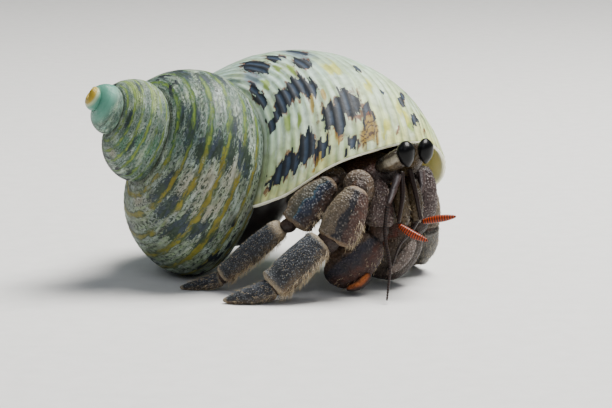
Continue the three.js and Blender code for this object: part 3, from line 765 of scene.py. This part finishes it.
EVEN_ENDS = [(0.0, "8A8078"), (0.14, "FFFFFF"), (0.86, "FFFFFF"), (1.0, "A89A8C")]
PALE_ENDS = [(0.0, "E6DCC8"), (0.14, "A3A6AC"), (0.5, "8A8F98"), (0.8, "B0AEA8"), (1.0, "FFF4E2")]
PAINTS = {
    "chitin_brown": crust(
        "granular_brown_crust",
        [(0.0, "4A352C"), (0.2, "4A2F24"), (0.42, "3A221B"), (0.47, "100D14"), (0.57, "14121C"),
         (0.62, "4E4234"), (1.0, "6E624F")],
        EVEN_ENDS, "9F958A", rim="7A6650",
    ),
    "chitin_blue": crust(
        "granular_slate_blue_crust",
        [(0.0, "5A4A42"), (0.25, "3E2B24"), (0.40, "2A1E1E"), (0.44, "12182A"), (0.56, "18233A"),
         (0.61, "27485A"), (0.65, "3E3D30"), (0.85, "4B4638"), (1.0, "6A5C4A")],
        EVEN_ENDS, "8F9090", rim="6E5C48",
    ),
    "chitin_grey": crust(
        "granular_grey_crust",
        [(0.0, "9A8468"), (0.22, "7C6A56"), (0.40, "3C3C42"), (0.62, "343A45"), (0.85, "4E545C"),
         (1.0, "6E7276")],
        PALE_ENDS, "92979C", grain=0.22, tip_share=0.5, rough=0.6, rim="8F8068",
    ),
    "chitin_tan": crust(
        "ridged_tan_crust",
        [(0.0, "5C4A3A"), (0.5, "7A6C5C"), (1.0, "6A5C4C")], EVEN_ENDS, "B8B0A6", tip_share=0.5,
    ),
    "chitin_pink": crust(
        "granular_lilac_crust",
        [(0.0, "332220"), (0.5, "40302E"), (1.0, "4A3E3C")], EVEN_ENDS, "A89C98",
        grain=0.26, tip_share=0.7,
    ),
    "chitin_rough": crust(
        "coarse_grained_brown_crust",
        [(0.0, "4A342E"), (0.5, "5A4844"), (1.0, "6A5C56")], EVEN_ENDS, "B8ACA6",
        grain=0.26, tip_share=0.8,
    ),
    "chitin_dark": crust(
        "dark_purple_brown_crust",
        [(0.0, "2E1710"), (0.35, "402016"), (0.5, "18131E"), (0.68, "1C1A28"), (0.78, "43301F"),
         (1.0, "4E3A2C")],
        EVEN_ENDS, "6E655F", tip_share=0.25,
    ),
    "chitin_claw": crust(
        "dark_claw_crust",
        [(0.0, "2A1B18"), (0.4, "33281F"), (0.7, "41362B"), (0.86, "55402F"), (0.93, "6A3A30"),
         (1.0, "5A4A42")],
        EVEN_ENDS, "7A6F66", tip_share=0.3,
    ),
    "chitin_ridge": crust(
        "pale_beaded_crust",
        [(0.0, "4A3D36"), (0.5, "6A5D56"), (1.0, "85786F")], EVEN_ENDS, "B8AEA6",
        grain=0.26, tip_share=0.7,
    ),
    "chitin_beige": crust(
        "grey_beige_crust",
        [(0.0, "3A2418"), (0.3, "4C3828"), (0.6, "5C564E"), (1.0, "66645F")], EVEN_ENDS, "8A857C",
        tip_share=0.2,
    ),
}


# Amber chitin, thin and clear enough to glow, ringed where its segments meet.
def amber(name, thick, thin, rings):
    """A material with this many rings along the piece, from a thick tone to a thin one."""
    made, tree, shader = material(name)
    ring = wave(tree, lay_of(tree)[1], 1 / rings)
    colour = node(
        tree, "ValToRGB", {0: share_of(tree, (ring, -0.2, 0.9))}, stops=[(0.0, thick), (1.0, thin)]
    )
    tree.links.new(colour.outputs[0], shader.inputs["Base Color"])
    shader.inputs["Roughness"].default_value = 0.3
    shader.inputs["Specular IOR Level"].default_value = 0.3
    return made


PAINTS["chitin_orange"] = amber("amber_ringed_chitin", "3A0E02", "A83C02", 14)
PAINTS["finger_orange"] = crust(
    "orange_edged_finger",
    [(0.0, "1A100C"), (0.30, "3A1F12"), (0.45, "8A4418"), (0.7, "A85A20"), (1.0, "4A2C1C")],
    EVEN_ENDS, "A87A50", tip_share=0.0,
)
PAINTS["joint_skin"] = crust(
    "folded_brown_skin",
    [(0.0, "241610"), (0.5, "35231A"), (1.0, "4A3527")], EVEN_ENDS, "5A4032", tip_share=0.0,
)
PAINTS["feeler_dark"] = amber("dark_ringed_chitin", "120C0B", "33241F", 34)
PAINTS["feeler_base"] = crust(
    "lilac_grey_feeler_base",
    [(0.0, "3A1C16"), (0.35, "4A3A38"), (0.6, "8A8486"), (0.72, "4E4546"), (1.0, "3A302E")],
    EVEN_ENDS, "A8A2A2", tip_share=0.0, mottle=0.3,
)

# The cornea is thousands of minute facets under one clear skin, so it shines like
# wet glass. It is black all through.
made, tree, shader = material("black_cornea")
shader.inputs["Base Color"].default_value = linear("050506")
shader.inputs["Roughness"].default_value = 0.35
shader.inputs["Specular IOR Level"].default_value = 0.1
shader.inputs["Coat Weight"].default_value = 0.1
shader.inputs["Coat Roughness"].default_value = 0.06
facet_spot = node(tree, "TexCoord").outputs["Object"]
facet = node(tree, "TexVoronoi", {0: facet_spot, "Scale": 9000})
bump = node(tree, "Bump", {"Strength": 0.15, "Distance": 0.00001, "Height": facet})
tree.links.new(bump.outputs[0], shader.inputs["Normal"])
PAINTS["eye"] = made

FORMS = {}


def segment(node_name, slot, points, wide, deep, facing, paint=None, grain=0.5, height=0.10,
            columns=72, rows=64, **form):
    """A limb's segment in place of its solid."""
    form.update(points=points, wide=wide, deep=deep, facing=facing)
    FORMS[node_name] = form
    piece = sweep("crust_" + node_name, form, columns, rows)
    if height:
        roughen(piece, grain, height)
    piece.data.materials.append(PAINTS[paint or slot])
    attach(piece, "root")
    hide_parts(node_name)


# ---- The trunk -----------------------------------------------------------
# The front shield is one hard plate over the head, and the thorax below carries the
# legs. Both are mostly inside the shell.
UP_FACING = [0.1, -0.25, 1]
segment("carapace", "chitin_brown", [[15.3, -9.2, 14.3], [11.6, -6.3, 14.5], [7.8, -3.4, 13.4]],
        [2.6, 3.6, 3.9, 3.7, 3.0], [1.2, 1.7, 1.8, 1.7, 1.4], UP_FACING, paint="chitin_dark")
segment("thorax", "chitin_brown", [[14.8, -8.0, 11.0], [11.4, -5.6, 10.4], [7.6, -2.8, 10.6]],
        [2.2, 3.1, 3.2, 3.0, 2.6], [1.8, 2.3, 2.4, 2.3, 2.2], UP_FACING, paint="chitin_dark")

# ---- The walking legs of the near side -----------------------------------
# Each has a merus that rises out of the shell, a carpus that turns down at the knee, a
# straight propodus and a pointed dactyl that touches the ground.
MERUS_RINGS = 70 / math.tau
KNEE_FACING = [0.1, -1, 0.25]
SHIN_FACING = [0, -1, 0.25]
segment("leg2_right_carpus", "chitin_brown",
        [[10.9, -13.3, 13.3], [9.3, -14.4, 10.1], [7.8, -14.9, 6.9]],
        [1.2, 1.95, 2.4, 2.5, 2.15], [1.2, 1.7, 1.8, 1.7, 1.5], KNEE_FACING,
        relief=knuckles, columns=110, rows=100, boxy=2.6)
segment("leg2_right_propodus", "chitin_grey",
        [[6.4, -15.1, 7.2], [3.4, -16.2, 4.6], [0.4, -16.9, 1.9]],
        [1.7, 1.9, 2.0, 2.0, 1.85], [1.5, 1.7, 1.7, 1.6, 1.3], SHIN_FACING,
        relief=knuckles, columns=110, rows=110, boxy=2.5, blunt=3.4, cap=0.11)
segment("leg2_right_dactyl", "chitin_grey",
        [[0.9, -16.8, 1.8], [-2.4, -17.3, 0.95], [-5.4, -17.2, 0.35]],
        [1.35, 1.2, 0.9, 0.3], [1.15, 1.0, 0.8, 0.35], SHIN_FACING, height=0.05)
segment("leg2_right_merus", "chitin_tan",
        [[11.2, -7.0, 10.2], [11.2, -10.0, 12.4], [10.4, -12.8, 14.0]],
        [1.3, 1.6, 1.75, 1.5], [1.3, 1.6, 1.8, 1.6], [0, 0.5, 1],
        relief=ringed(MERUS_RINGS, 0.09), columns=96, rows=110)
segment("leg3_right_carpus", "chitin_brown",
        [[7.8, -11.4, 13.9], [5.0, -12.4, 11.3], [3.1, -13.1, 8.6]],
        [1.1, 1.8, 2.2, 1.85], [1.1, 1.4, 1.45, 1.2], KNEE_FACING, paint="chitin_blue",
        relief=knuckles, columns=110, rows=100, boxy=2.6)
segment("leg3_right_propodus", "chitin_grey",
        [[1.6, -13.2, 8.6], [-2.0, -11.7, 5.3], [-5.6, -9.8, 1.9]],
        [1.15, 1.4, 1.45, 1.35, 1.2], [1.2, 1.3, 1.3, 1.2, 1.0], SHIN_FACING,
        relief=knuckles, columns=96, rows=120, boxy=2.5, blunt=3.4, cap=0.08)
segment("leg3_right_dactyl", "chitin_grey",
        [[-5.6, -9.9, 1.6], [-8.2, -9.3, 0.7], [-10.9, -9.4, 0.3]],
        [0.95, 0.85, 0.65, 0.25], [0.85, 0.75, 0.6, 0.3], SHIN_FACING, height=0.05)
segment("leg3_right_merus", "chitin_tan",
        [[8.0, -5.2, 11.4], [8.0, -8.2, 13.0], [7.6, -10.7, 14.4]],
        [1.2, 1.5, 1.7, 1.5], [1.1, 1.3, 1.5, 1.3], [0, 0.5, 1],
        relief=ringed(MERUS_RINGS, 0.07), columns=96, rows=110)

# ---- The near claw, which is the smaller one -----------------------------
# The palm is one swollen piece that ends in the fixed finger, and the dactyl closes
# against it. The carpus above is a short column, rough with pale grains.
CLAW_FACING = [0.1, -1, 0.1]
segment("claw_right_palm", "chitin_brown",
        [[13.2, -11.0, 7.0], [10.0, -11.4, 3.8], [6.9, -11.6, 1.9]],
        [1.75, 2.4, 2.7, 2.5, 1.5], [1.5, 2.0, 2.0, 1.6, 1.0], CLAW_FACING, paint="chitin_dark",
        columns=110, rows=100, blunt=2.2, cap=0.2)
segment("claw_right_dactyl", "chitin_orange",
        [[12.2, -12.5, 2.7], [11.0, -12.8, 1.5], [9.4, -12.8, 0.8]],
        [0.5, 0.65, 0.6, 0.3], [0.5, 0.65, 0.6, 0.3], CLAW_FACING, paint="finger_orange",
        height=0.04)
segment("claw_right_carpus", "chitin_pink",
        [[13.1, -9.8, 14.2], [13.5, -10.3, 11.2], [13.4, -10.8, 8.0]],
        [0.55, 1.15, 1.55, 1.6], [0.9, 1.4, 1.7, 1.6], CLAW_FACING, paint="chitin_rough",
        columns=96, rows=100, grain=0.42, height=0.2)
segment("claw_right_merus", "chitin_brown",
        [[12.2, -8.6, 6.9], [12.7, -8.9, 9.6], [13.0, -9.4, 12.3]],
        [1.2, 1.4, 1.3, 1.0], [1.0, 1.1, 1.1, 0.9], CLAW_FACING, paint="chitin_dark")

# ---- The head ------------------------------------------------------------
# Two eyes on short stout stalks, with the feelers and the mouth's legs hung below.
EYE_FACING = [-0.6, -0.8, 0]
STALK_ENDS = [(0.0, "3A342C"), (0.35, "6A6458"), (0.6, "FFFFFF"), (1.0, "FFFFFF")]
PAINTS["stalk_cream"] = crust(
    "smooth_cream_and_brown_skin",
    [(0.0, "1E1610"), (0.3, "3A3020"), (0.42, "8D8672"), (0.62, "B4AA96"), (0.72, "5E4F38"),
     (1.0, "2A2015")],
    STALK_ENDS, "B5AA96", tip_share=0.0, rough=0.35, mottle=0.4,
)
PAINTS["stalk_olive"] = crust(
    "smooth_olive_brown_skin",
    [(0.0, "241A10"), (0.4, "3E311B"), (0.7, "55452A"), (1.0, "2A2014")],
    EVEN_ENDS, "5A4A30", tip_share=0.0, rough=0.35, mottle=0.4,
)
for side_name, ball, ball_wide, stalk, stalk_wide, stalk_paint in (
    ("right", [[16.4, -12.0, 18.8], [16.5, -12.1, 17.2], [16.8, -12.0, 15.6]],
     [0.8, 1.0, 0.96, 0.75, 0.45], [[13.2, -9.8, 15.2], [14.7, -10.9, 16.0], [16.1, -11.8, 16.9]],
     [0.85, 1.0, 1.15, 1.2], "stalk_cream"),
    ("left", [[18.9, -9.3, 18.7], [18.95, -9.4, 17.2], [19.0, -9.3, 15.6]],
     [0.65, 0.8, 0.8, 0.65, 0.4], [[15.9, -7.7, 14.3], [17.5, -8.8, 15.7], [18.1, -9.5, 18.0]],
     [0.9, 1.0, 0.95, 0.65], "stalk_olive"),
):
    segment("cornea_" + side_name, "eye", ball, ball_wide, [0.9, 1.2, 1.25, 1.0, 0.6],
            EYE_FACING, height=0, cap=0.36, blunt=2.2, boxy=2.0)
    segment("eyestalk_" + side_name, "chitin_tan" if side_name == "right" else "chitin_brown",
            stalk, stalk_wide, [0.7, 0.9, 0.95, 0.8], EYE_FACING,
            paint=stalk_paint, height=0.03)

FRONT = [0, -1, 0]
FEELER_FACING = [0.3, -1, 0.2]


CLUB_RINGS = ringed(14, 0.012)
WHIP_RINGS = ringed(34, 0.02)
for side_name, points, half in (
    ("right", [[15.6, -12.7, 8.7], [17.2, -13.2, 7.7], [19.1, -13.6, 6.9]], 0.45),
    ("left", [[18.5, -10.6, 8.7], [20.4, -11.0, 9.1], [22.6, -11.4, 9.5]], 0.42),
):
    halves = [0.28, half, 0.42, 0.2]
    segment(f"antennule_{side_name}_club", "chitin_orange", points, halves, halves, FRONT,
            height=0, columns=24, rows=120, relief=CLUB_RINGS, boxy=2.0)
for side_name, points in (
    ("right", [[16.0, -10.8, 14.9], [16.1, -11.9, 12.0], [15.6, -12.6, 8.9]]),
    ("left", [[17.0, -9.6, 15.0], [17.8, -10.2, 11.9], [18.4, -10.5, 8.9]]),
):
    segment(f"antennule_{side_name}_stalk", "chitin_brown", points, [0.36, 0.3, 0.24],
            [0.36, 0.3, 0.24], FEELER_FACING, paint="feeler_dark", height=0, columns=20,
            rows=60, boxy=2.0, cap=0.03)
for side_name, base, whip in (
    ("right", [[15.6, -11.2, 14.7], [15.1, -11.9, 13.1], [14.4, -12.6, 11.2]],
     [[14.3, -12.8, 11.0], [14.0, -13.4, 9.0], [14.0, -14.2, 7.2], [14.5, -15.6, 4.0],
      [14.1, -17.8, 0.5]]),
    ("left", [[18.5, -7.4, 14.6], [18.6, -7.4, 13.0], [18.5, -7.4, 11.5]],
     [[18.5, -7.5, 11.3], [18.3, -9.0, 9.2], [17.2, -10.4, 7.4], [15.8, -11.7, 6.0],
      [14.9, -12.4, 3.6]]),
):
    segment(f"antenna_{side_name}_base", "chitin_pink", base, [0.5, 0.45, 0.4, 0.3],
            [0.6, 0.55, 0.5, 0.3], CLAW_FACING, paint="feeler_base", height=0.03, columns=40)
    segment(f"antenna_{side_name}_flagellum", "chitin_brown", whip, [0.26, 0.2, 0.12],
            [0.26, 0.2, 0.12], FEELER_FACING, paint="feeler_dark", height=0, columns=14,
            rows=200, relief=WHIP_RINGS, boxy=2.0, cap=0.01)
# The mouth's legs take the dark olive-brown paint of the far eyestalk: partly their own tan-olive
# with dark edges, partly painted shade, as they lie deep between the limbs.
for side_name, points in (
    ("right", [[15.7, -10.2, 13.6], [16.0, -10.8, 11.0], [16.4, -10.9, 8.2]]),
    ("left", [[17.2, -8.4, 13.6], [17.7, -8.9, 11.0], [17.9, -9.1, 8.2]]),
):
    segment("mouthpart_" + side_name, "chitin_tan", points, [0.75, 0.95, 0.95, 0.6],
            [0.8, 0.9, 0.9, 0.6], [0.3, -1, 0], paint="stalk_olive", height=0.06)

# ---- The far side, with the great claw -----------------------------------
# The great claw, of the same crusted chitin, closes the mouth of the shell when the
# crab draws in. The two far walking legs mirror the near ones, each on its own joints.
GREAT_FACING = [0.45, -0.9, 0.1]
segment("claw_left_palm", "chitin_brown",
        [[17.7, -4.9, 7.0], [15.4, -6.2, 4.1], [12.4, -7.2, 1.4]],
        [1.85, 2.45, 2.75, 2.45, 1.1], [1.8, 2.4, 2.4, 1.8, 0.8], GREAT_FACING, paint="chitin_claw",
        columns=110, rows=100, blunt=2.2, cap=0.2)
segment("claw_left_dactyl", "chitin_brown",
        [[17.7, -7.2, 5.9], [16.4, -8.4, 3.8], [14.3, -8.9, 1.8]],
        [0.5, 0.75, 0.7, 0.35], [0.7, 0.9, 0.8, 0.35], GREAT_FACING, paint="chitin_ridge")
segment("claw_left_carpus", "chitin_pink",
        [[18.6, -4.9, 14.6], [18.7, -4.7, 11.2], [18.5, -4.4, 7.8]],
        [1.1, 1.6, 1.75, 1.65], [1.3, 2.0, 2.3, 1.95], GREAT_FACING, grain=0.45, height=0.16,
        columns=96, rows=90)
segment("claw_left_merus", "chitin_brown",
        [[15.4, -4.6, 9.2], [16.6, -4.4, 11.0], [18.3, -4.2, 13.0]],
        [1.2, 1.6, 1.6, 1.2], [1.2, 1.5, 1.5, 1.2], GREAT_FACING, paint="chitin_dark")
segment("leg2_left_carpus", "chitin_tan",
        [[19.2, -1.2, 11.4], [19.6, -1.0, 9.0], [19.6, -0.6, 6.2]],
        [1.2, 1.5, 1.6, 1.4], [1.2, 1.5, 1.6, 1.4], [0.9, 0.3, 0], relief=knuckles)
segment("leg2_left_propodus", "chitin_tan",
        [[19.7, -0.7, 6.8], [19.6, 1.1, 4.2], [18.7, 3.8, 1.8]],
        [1.4, 1.6, 1.8, 1.8, 1.6], [1.3, 1.4, 1.4, 1.2, 1.1], [0.9, 0.3, 0],
        paint="chitin_beige", relief=knuckles)
segment("leg2_left_dactyl", "chitin_grey",
        [[18.8, 3.4, 1.8], [17.2, 6.8, 0.95], [14.4, 9.6, 0.35]],
        [1.2, 1.1, 0.85, 0.35], [1.0, 0.9, 0.75, 0.35], [0.9, 0.3, 0], height=0.05)
segment("leg2_left_merus", "chitin_brown",
        [[14.2, -2.9, 8.6], [16.6, -1.6, 10.2], [18.8, -1.2, 11.4]],
        [1.3, 1.5, 1.6, 1.3], [1.2, 1.4, 1.4, 1.2], [0.5, 0.6, 1])
segment("leg3_left_carpus", "chitin_brown",
        [[16.9, 1.4, 5.9], [16.4, 3.4, 5.0], [15.0, 5.6, 3.9]],
        [1.0, 1.2, 1.3, 1.1], [1.0, 1.1, 1.1, 0.9], [0.9, 0.5, 0.2], relief=knuckles)
segment("leg3_left_propodus", "chitin_grey",
        [[14.9, 5.7, 3.8], [12.2, 8.4, 2.6], [9.0, 10.6, 1.4]],
        [1.1, 1.25, 1.3, 1.1, 1.0], [0.9, 1.0, 1.0, 0.9, 0.8], [0.5, 0.8, 0.2], relief=knuckles)
segment("leg3_left_dactyl", "chitin_grey",
        [[9.2, 10.5, 1.3], [6.4, 11.8, 0.65], [3.6, 12.0, 0.3]],
        [0.9, 0.8, 0.6, 0.3], [0.8, 0.7, 0.55, 0.3], [0.2, 1, 0.1], height=0.05)
segment("leg3_left_merus", "chitin_brown",
        [[12.0, -2.0, 7.8], [14.4, -0.6, 7.2], [16.7, 1.2, 6.2]],
        [1.1, 1.3, 1.3, 1.0], [1.0, 1.2, 1.2, 1.0], [0.5, 0.6, 1])

# ---- The small hind legs and the soft abdomen ----------------------------
# They stay inside the shell: the legs brace the crab against its wall, and the
# abdomen follows the hollow round.
for name, points, half in (
    ("leg4_right", [[8.4, -5.4, 9.4], [7.0, -7.0, 9.0], [5.4, -7.8, 9.6]], 0.75),
    ("leg4_left", [[10.4, -1.8, 8.8], [10.2, 0.0, 8.8], [9.2, 1.4, 9.6]], 0.75),
    ("leg5_right", [[6.8, -4.6, 11.2], [5.6, -5.6, 12.0], [5.2, -5.8, 13.6]], 0.55),
    ("leg5_left", [[8.4, -0.8, 11.0], [9.0, 0.8, 11.6], [9.0, 1.6, 12.8]], 0.55),
):
    halves = [half * 0.8, half, half, half * 0.7]
    segment(name, "chitin_tan", points, halves, halves, [0, 0, 1], columns=32, rows=32,
            height=0.04)

ABDOMEN_START, ABDOMEN_END = -0.75, -5.6
ABDOMEN_RADIUS = 4.4
ABDOMEN_INWARD = 4.0
ABDOMEN_ROWS = 90
ABDOMEN_COLUMNS = 40
FOLD_DEPTH = 0.03
FOLDS = 90
along_bag = np.linspace(0, 1, ABDOMEN_ROWS + 1)
growth = ABDOMEN_START + (ABDOMEN_END - ABDOMEN_START) * along_bag
folds = 1 + FOLD_DEPTH * np.cos(along_bag * FOLDS)
bag_radius = ABDOMEN_RADIUS * folds * np.sqrt(1 - 0.8 * np.maximum(0, 8 * along_bag - 7) ** 2)
bag_radius[[0, -1]] = 0
turns = np.linspace(-math.pi, math.pi, ABDOMEN_COLUMNS + 1)
GROWN, TURNS = np.meshgrid(growth, turns, indexing="ij")
HALF = np.repeat(bag_radius[:, None], ABDOMEN_COLUMNS + 1, axis=1)
size = np.exp(GROWTH * GROWN)
bag = coil_point(
    GROWN,
    (COIL_RADIUS - ABDOMEN_INWARD + HALF * np.cos(TURNS)) * size,
    (COIL_DROP + HALF * np.sin(TURNS)) * size,
)
abdomen = bent_grid(
    "abdomen_skin", ABDOMEN_COLUMNS, ABDOMEN_ROWS, bag, turns / math.tau + 0.5, along_bag
)
soft, tree, shader = material("soft_wrinkled_skin")
skin_spot = node(tree, "TexCoord").outputs["Object"]
wrinkle = node(tree, "TexNoise", {0: skin_spot, "Scale": 1200, "Detail": 4})
flesh = node(tree, "ValToRGB", {0: wrinkle}, stops=[(0.3, "7A4A3C"), (0.7, "B98E7C")])
tree.links.new(flesh.outputs[0], shader.inputs["Base Color"])
shader.inputs["Roughness"].default_value = 0.45
bump = node(tree, "Bump", {"Strength": 0.5, "Distance": 0.0002, "Height": wrinkle})
tree.links.new(bump.outputs[0], shader.inputs["Normal"])
abdomen.data.materials.append(soft)
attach(abdomen, "root")
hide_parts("abdomen")

# ---- The joint skins -----------------------------------------------------
# Soft brown skin lies folded between one hard segment and the next.
# Every fold is a short tube, tucked into both of the segments that it joins.
# The two ends of each fold, and half its width.
JOINT_SKINS = [
    ([[10.7, -12.8, 13.6], [10.9, -13.3, 13.0]], 0.9),
    ([[7.7, -14.8, 7.1], [6.6, -15.0, 7.2]], 1.45),
    ([[0.9, -16.7, 2.2], [0.1, -16.9, 1.6]], 1.15),
    ([[7.8, -10.9, 13.9], [7.8, -11.4, 13.6]], 0.75),
    ([[2.9, -13.0, 8.8], [1.9, -13.2, 8.6]], 0.9),
    ([[-5.2, -10.0, 1.9], [-5.9, -9.8, 1.5]], 0.8),
    ([[13.4, -10.7, 8.2], [13.1, -10.9, 7.0]], 1.25),
    ([[18.5, -4.4, 8.0], [17.8, -4.8, 6.9]], 1.45),
    ([[19.6, -0.6, 6.7], [19.7, -0.6, 6.1]], 1.2),
    ([[18.9, 3.4, 2.1], [18.7, 3.9, 1.7]], 1.0),
    ([[18.6, -1.2, 11.3], [19.2, -1.2, 11.3]], 1.1),
    ([[16.5, 1.1, 6.2], [17.0, 1.6, 5.9]], 0.9),
    ([[15.1, 5.4, 3.9], [14.7, 6.0, 3.7]], 0.8),
    ([[9.4, 10.4, 1.5], [8.9, 10.8, 1.3]], 0.7),
    ([[11.9, -12.0, 3.0], [12.6, -12.0, 3.9]], 0.7),
]
SKIN_TUCK = 0.6
skins = []
for number, ((start, end), half) in enumerate(JOINT_SKINS):
    start, end = np.array(start), np.array(end)
    reach_out = (end - start) / np.linalg.norm(end - start) * half * SKIN_TUCK
    form = dict(points=[start - reach_out, end + reach_out], wide=[half, half],
                deep=[half, half], facing=[0.3, -1, 0.4], cap=0.5, blunt=2.0, boxy=2.0)
    skins.append(sweep(f"joint_skin_{number}", form, 32, 24))
bpy.ops.object.select_all(action="DESELECT")
for skin in skins:
    skin.select_set(True)
bpy.context.view_layer.objects.active = skins[0]
bpy.ops.object.join()
joint_skins = bpy.context.object
joint_skins.name = "joint_skins"
joint_skins.data.materials.clear()
joint_skins.data.materials.append(PAINTS["joint_skin"])
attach(joint_skins, "root")

# ---- The bristles --------------------------------------------------------
# Stiff setae of clear chitin, singly and in rows, thickest along the lower edges of
# the shins and at the knees. Each is a bent three-sided cone rooted in the crust.
draw = random.Random(7)
BRISTLE_RADIUS = 0.027
ROOTED = 0.08
OUTWARD = 0.8
FORWARD = 0.55
STRAY = 0.22
BENT_FORWARD = 0.35
SAG = np.array([0, 0, -0.12])
NO_BRISTLE_WAY = [0.31, 0.22, 0.92]
BRISTLE_RINGS = ((0, 1.0), (0.55, 0.75))
BRISTLE_FLOOR = 0.01
# Limb, how many, shares of its length, degrees round it, and the length in millimetres.
BRISTLES = [
    ("leg2_right_propodus", 320, (0.04, 0.98), (130, 235), (0.45, 0.95)),
    ("leg2_right_propodus", 650, (0.02, 0.98), (-180, 180), (0.14, 0.28)),
    ("leg3_right_propodus", 300, (0.04, 0.98), (130, 235), (0.4, 0.85)),
    ("leg3_right_propodus", 550, (0.02, 0.98), (-180, 180), (0.14, 0.28)),
    ("leg2_right_carpus", 140, (0.5, 0.97), (120, 215), (0.3, 0.7)),
    ("leg2_right_carpus", 160, (0.1, 0.95), (-180, 180), (0.12, 0.22)),
    ("leg3_right_carpus", 110, (0.5, 0.97), (120, 215), (0.3, 0.6)),
    ("leg3_right_carpus", 130, (0.1, 0.95), (-180, 180), (0.12, 0.22)),
    ("leg2_right_dactyl", 260, (0.0, 0.8), (-180, 180), (0.25, 0.5)),
    ("leg3_right_dactyl", 200, (0.0, 0.8), (-180, 180), (0.25, 0.45)),
    ("claw_right_palm", 130, (0.05, 0.9), (100, 260), (0.25, 0.5)),
    ("claw_right_carpus", 90, (0.3, 0.95), (-180, 180), (0.2, 0.4)),
    ("claw_left_palm", 120, (0.05, 0.9), (-180, 180), (0.2, 0.4)),
    ("leg2_left_propodus", 300, (0.03, 0.97), (-180, 180), (0.2, 0.5)),
    ("leg2_left_carpus", 120, (0.1, 0.9), (-180, 180), (0.2, 0.4)),
    ("leg2_left_dactyl", 160, (0.0, 0.8), (-180, 180), (0.25, 0.45)),
    ("leg3_left_propodus", 260, (0.03, 0.97), (-180, 180), (0.2, 0.5)),
    ("leg3_left_dactyl", 140, (0.0, 0.8), (-180, 180), (0.25, 0.4)),
    ("leg3_left_carpus", 90, (0.1, 0.9), (-180, 180), (0.2, 0.4)),
    ("mouthpart_right", 40, (0.5, 1.0), (0, 360), (0.2, 0.4)),
    ("mouthpart_left", 40, (0.5, 1.0), (0, 360), (0.2, 0.4)),
]
# In the bake map each limb has a cell of 7 by 7, with a margin of 0.05 of the cell, and
# each bristle has a small round spot at the place of its root.
LIMB_NAMES = sorted(FORMS)
CELLS = 7
CELL_MARGIN = 0.05
SPOT = 0.0015
SPOT_TURN = 2.1
NEXT_TO = 0.01
corners, faces, bake_spots, tip_shares = [], [], [], []
for limb_name, count, lengths, around, tall in BRISTLES:
    form = FORMS[limb_name]
    cell = LIMB_NAMES.index(limb_name)
    shares = np.array([draw.uniform(*lengths) for _ in range(count)])
    rounds = np.radians([draw.uniform(*around) for _ in range(count)])
    roots = limb_point(form, shares, rounds)
    ahead = limb_point(form, np.minimum(shares + NEXT_TO, 0.995), rounds) - roots
    beside = limb_point(form, shares, rounds + NEXT_TO) - roots
    out = np.cross(beside, ahead)
    axis_place, forward = run_along(form["points"], shares)
    out *= np.sign(np.sum(out * (roots - axis_place), axis=1))[:, None]
    out /= np.linalg.norm(out, axis=1)[:, None] + 1e-9
    for k in range(count):
        length = draw.uniform(*tall)
        lean = np.array([draw.gauss(0, STRAY) for _ in range(3)])
        direction = out[k] * OUTWARD + forward[k] * FORWARD + lean
        direction /= np.linalg.norm(direction)
        bend = forward[k] * BENT_FORWARD + SAG
        side_way = np.cross(direction, NO_BRISTLE_WAY)
        side_way /= np.linalg.norm(side_way)
        other_way = np.cross(direction, side_way)
        root = roots[k] - direction * ROOTED
        first = len(corners)
        radius = BRISTLE_RADIUS * (0.6 + 0.5 * length)
        for ring, thick in BRISTLE_RINGS:
            middle = root + direction * length * ring + bend * length * ring**2
            for corner in range(3):
                turn = corner * math.tau / 3
                offset = side_way * math.cos(turn) + other_way * math.sin(turn)
                corners.append(middle + offset * radius * thick)
                tip_shares.append(ring)
        corners.append(root + direction * length + bend * length)
        tip_shares.append(1.0)
        for corner in range(3):
            near, far = first + corner, first + (corner + 1) % 3
            faces.append((near, far, far + 3, near + 3))
            faces.append((near + 3, far + 3, first + 6))
        faces.append((first + 2, first + 1, first))
        inner = 1 - 2 * CELL_MARGIN
        spot_u = (cell % CELLS + CELL_MARGIN + inner * ((rounds[k] / math.tau) % 1)) / CELLS
        spot_v = (cell // CELLS + CELL_MARGIN + inner * shares[k]) / CELLS
        for n in range(6):
            turn = n * SPOT_TURN
            bake_spots.append((spot_u + SPOT * math.cos(turn), spot_v + SPOT * math.sin(turn)))
        bake_spots.append((spot_u, spot_v))
bristle_mesh = bpy.data.meshes.new("bristles")
corners = np.array(corners)
corners[:, 2] = np.maximum(corners[:, 2], BRISTLE_FLOOR)
bristle_mesh.from_pydata((corners - MIDDLE) * MM, [], faces)
bake_map = bristle_mesh.uv_layers.new(name="OFBake")
loop_corners = np.empty(len(bristle_mesh.loops), int)
bristle_mesh.loops.foreach_get("vertex_index", loop_corners)
bake_map.data.foreach_set("uv", np.array(bake_spots)[loop_corners].ravel())
tips = bristle_mesh.attributes.new("tip", "FLOAT", "POINT")
tips.data.foreach_set("value", np.array(tip_shares))
bristles = bpy.data.objects.new("bristles", bristle_mesh)
bpy.context.scene.collection.objects.link(bristles)
horn, tree, shader = material("clear_amber_bristle")
tip = node(tree, "Attribute", attribute_name="tip")
tip_share = tip.outputs["Fac"]
amber_tone = node(tree, "ValToRGB", {0: tip_share}, stops=[(0.0, "7A6248"), (1.0, "DCCBA8")])
tree.links.new(amber_tone.outputs[0], shader.inputs["Base Color"])
shader.inputs["Roughness"].default_value = 0.35
bristle_mesh.materials.append(horn)
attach(bristles, "root")
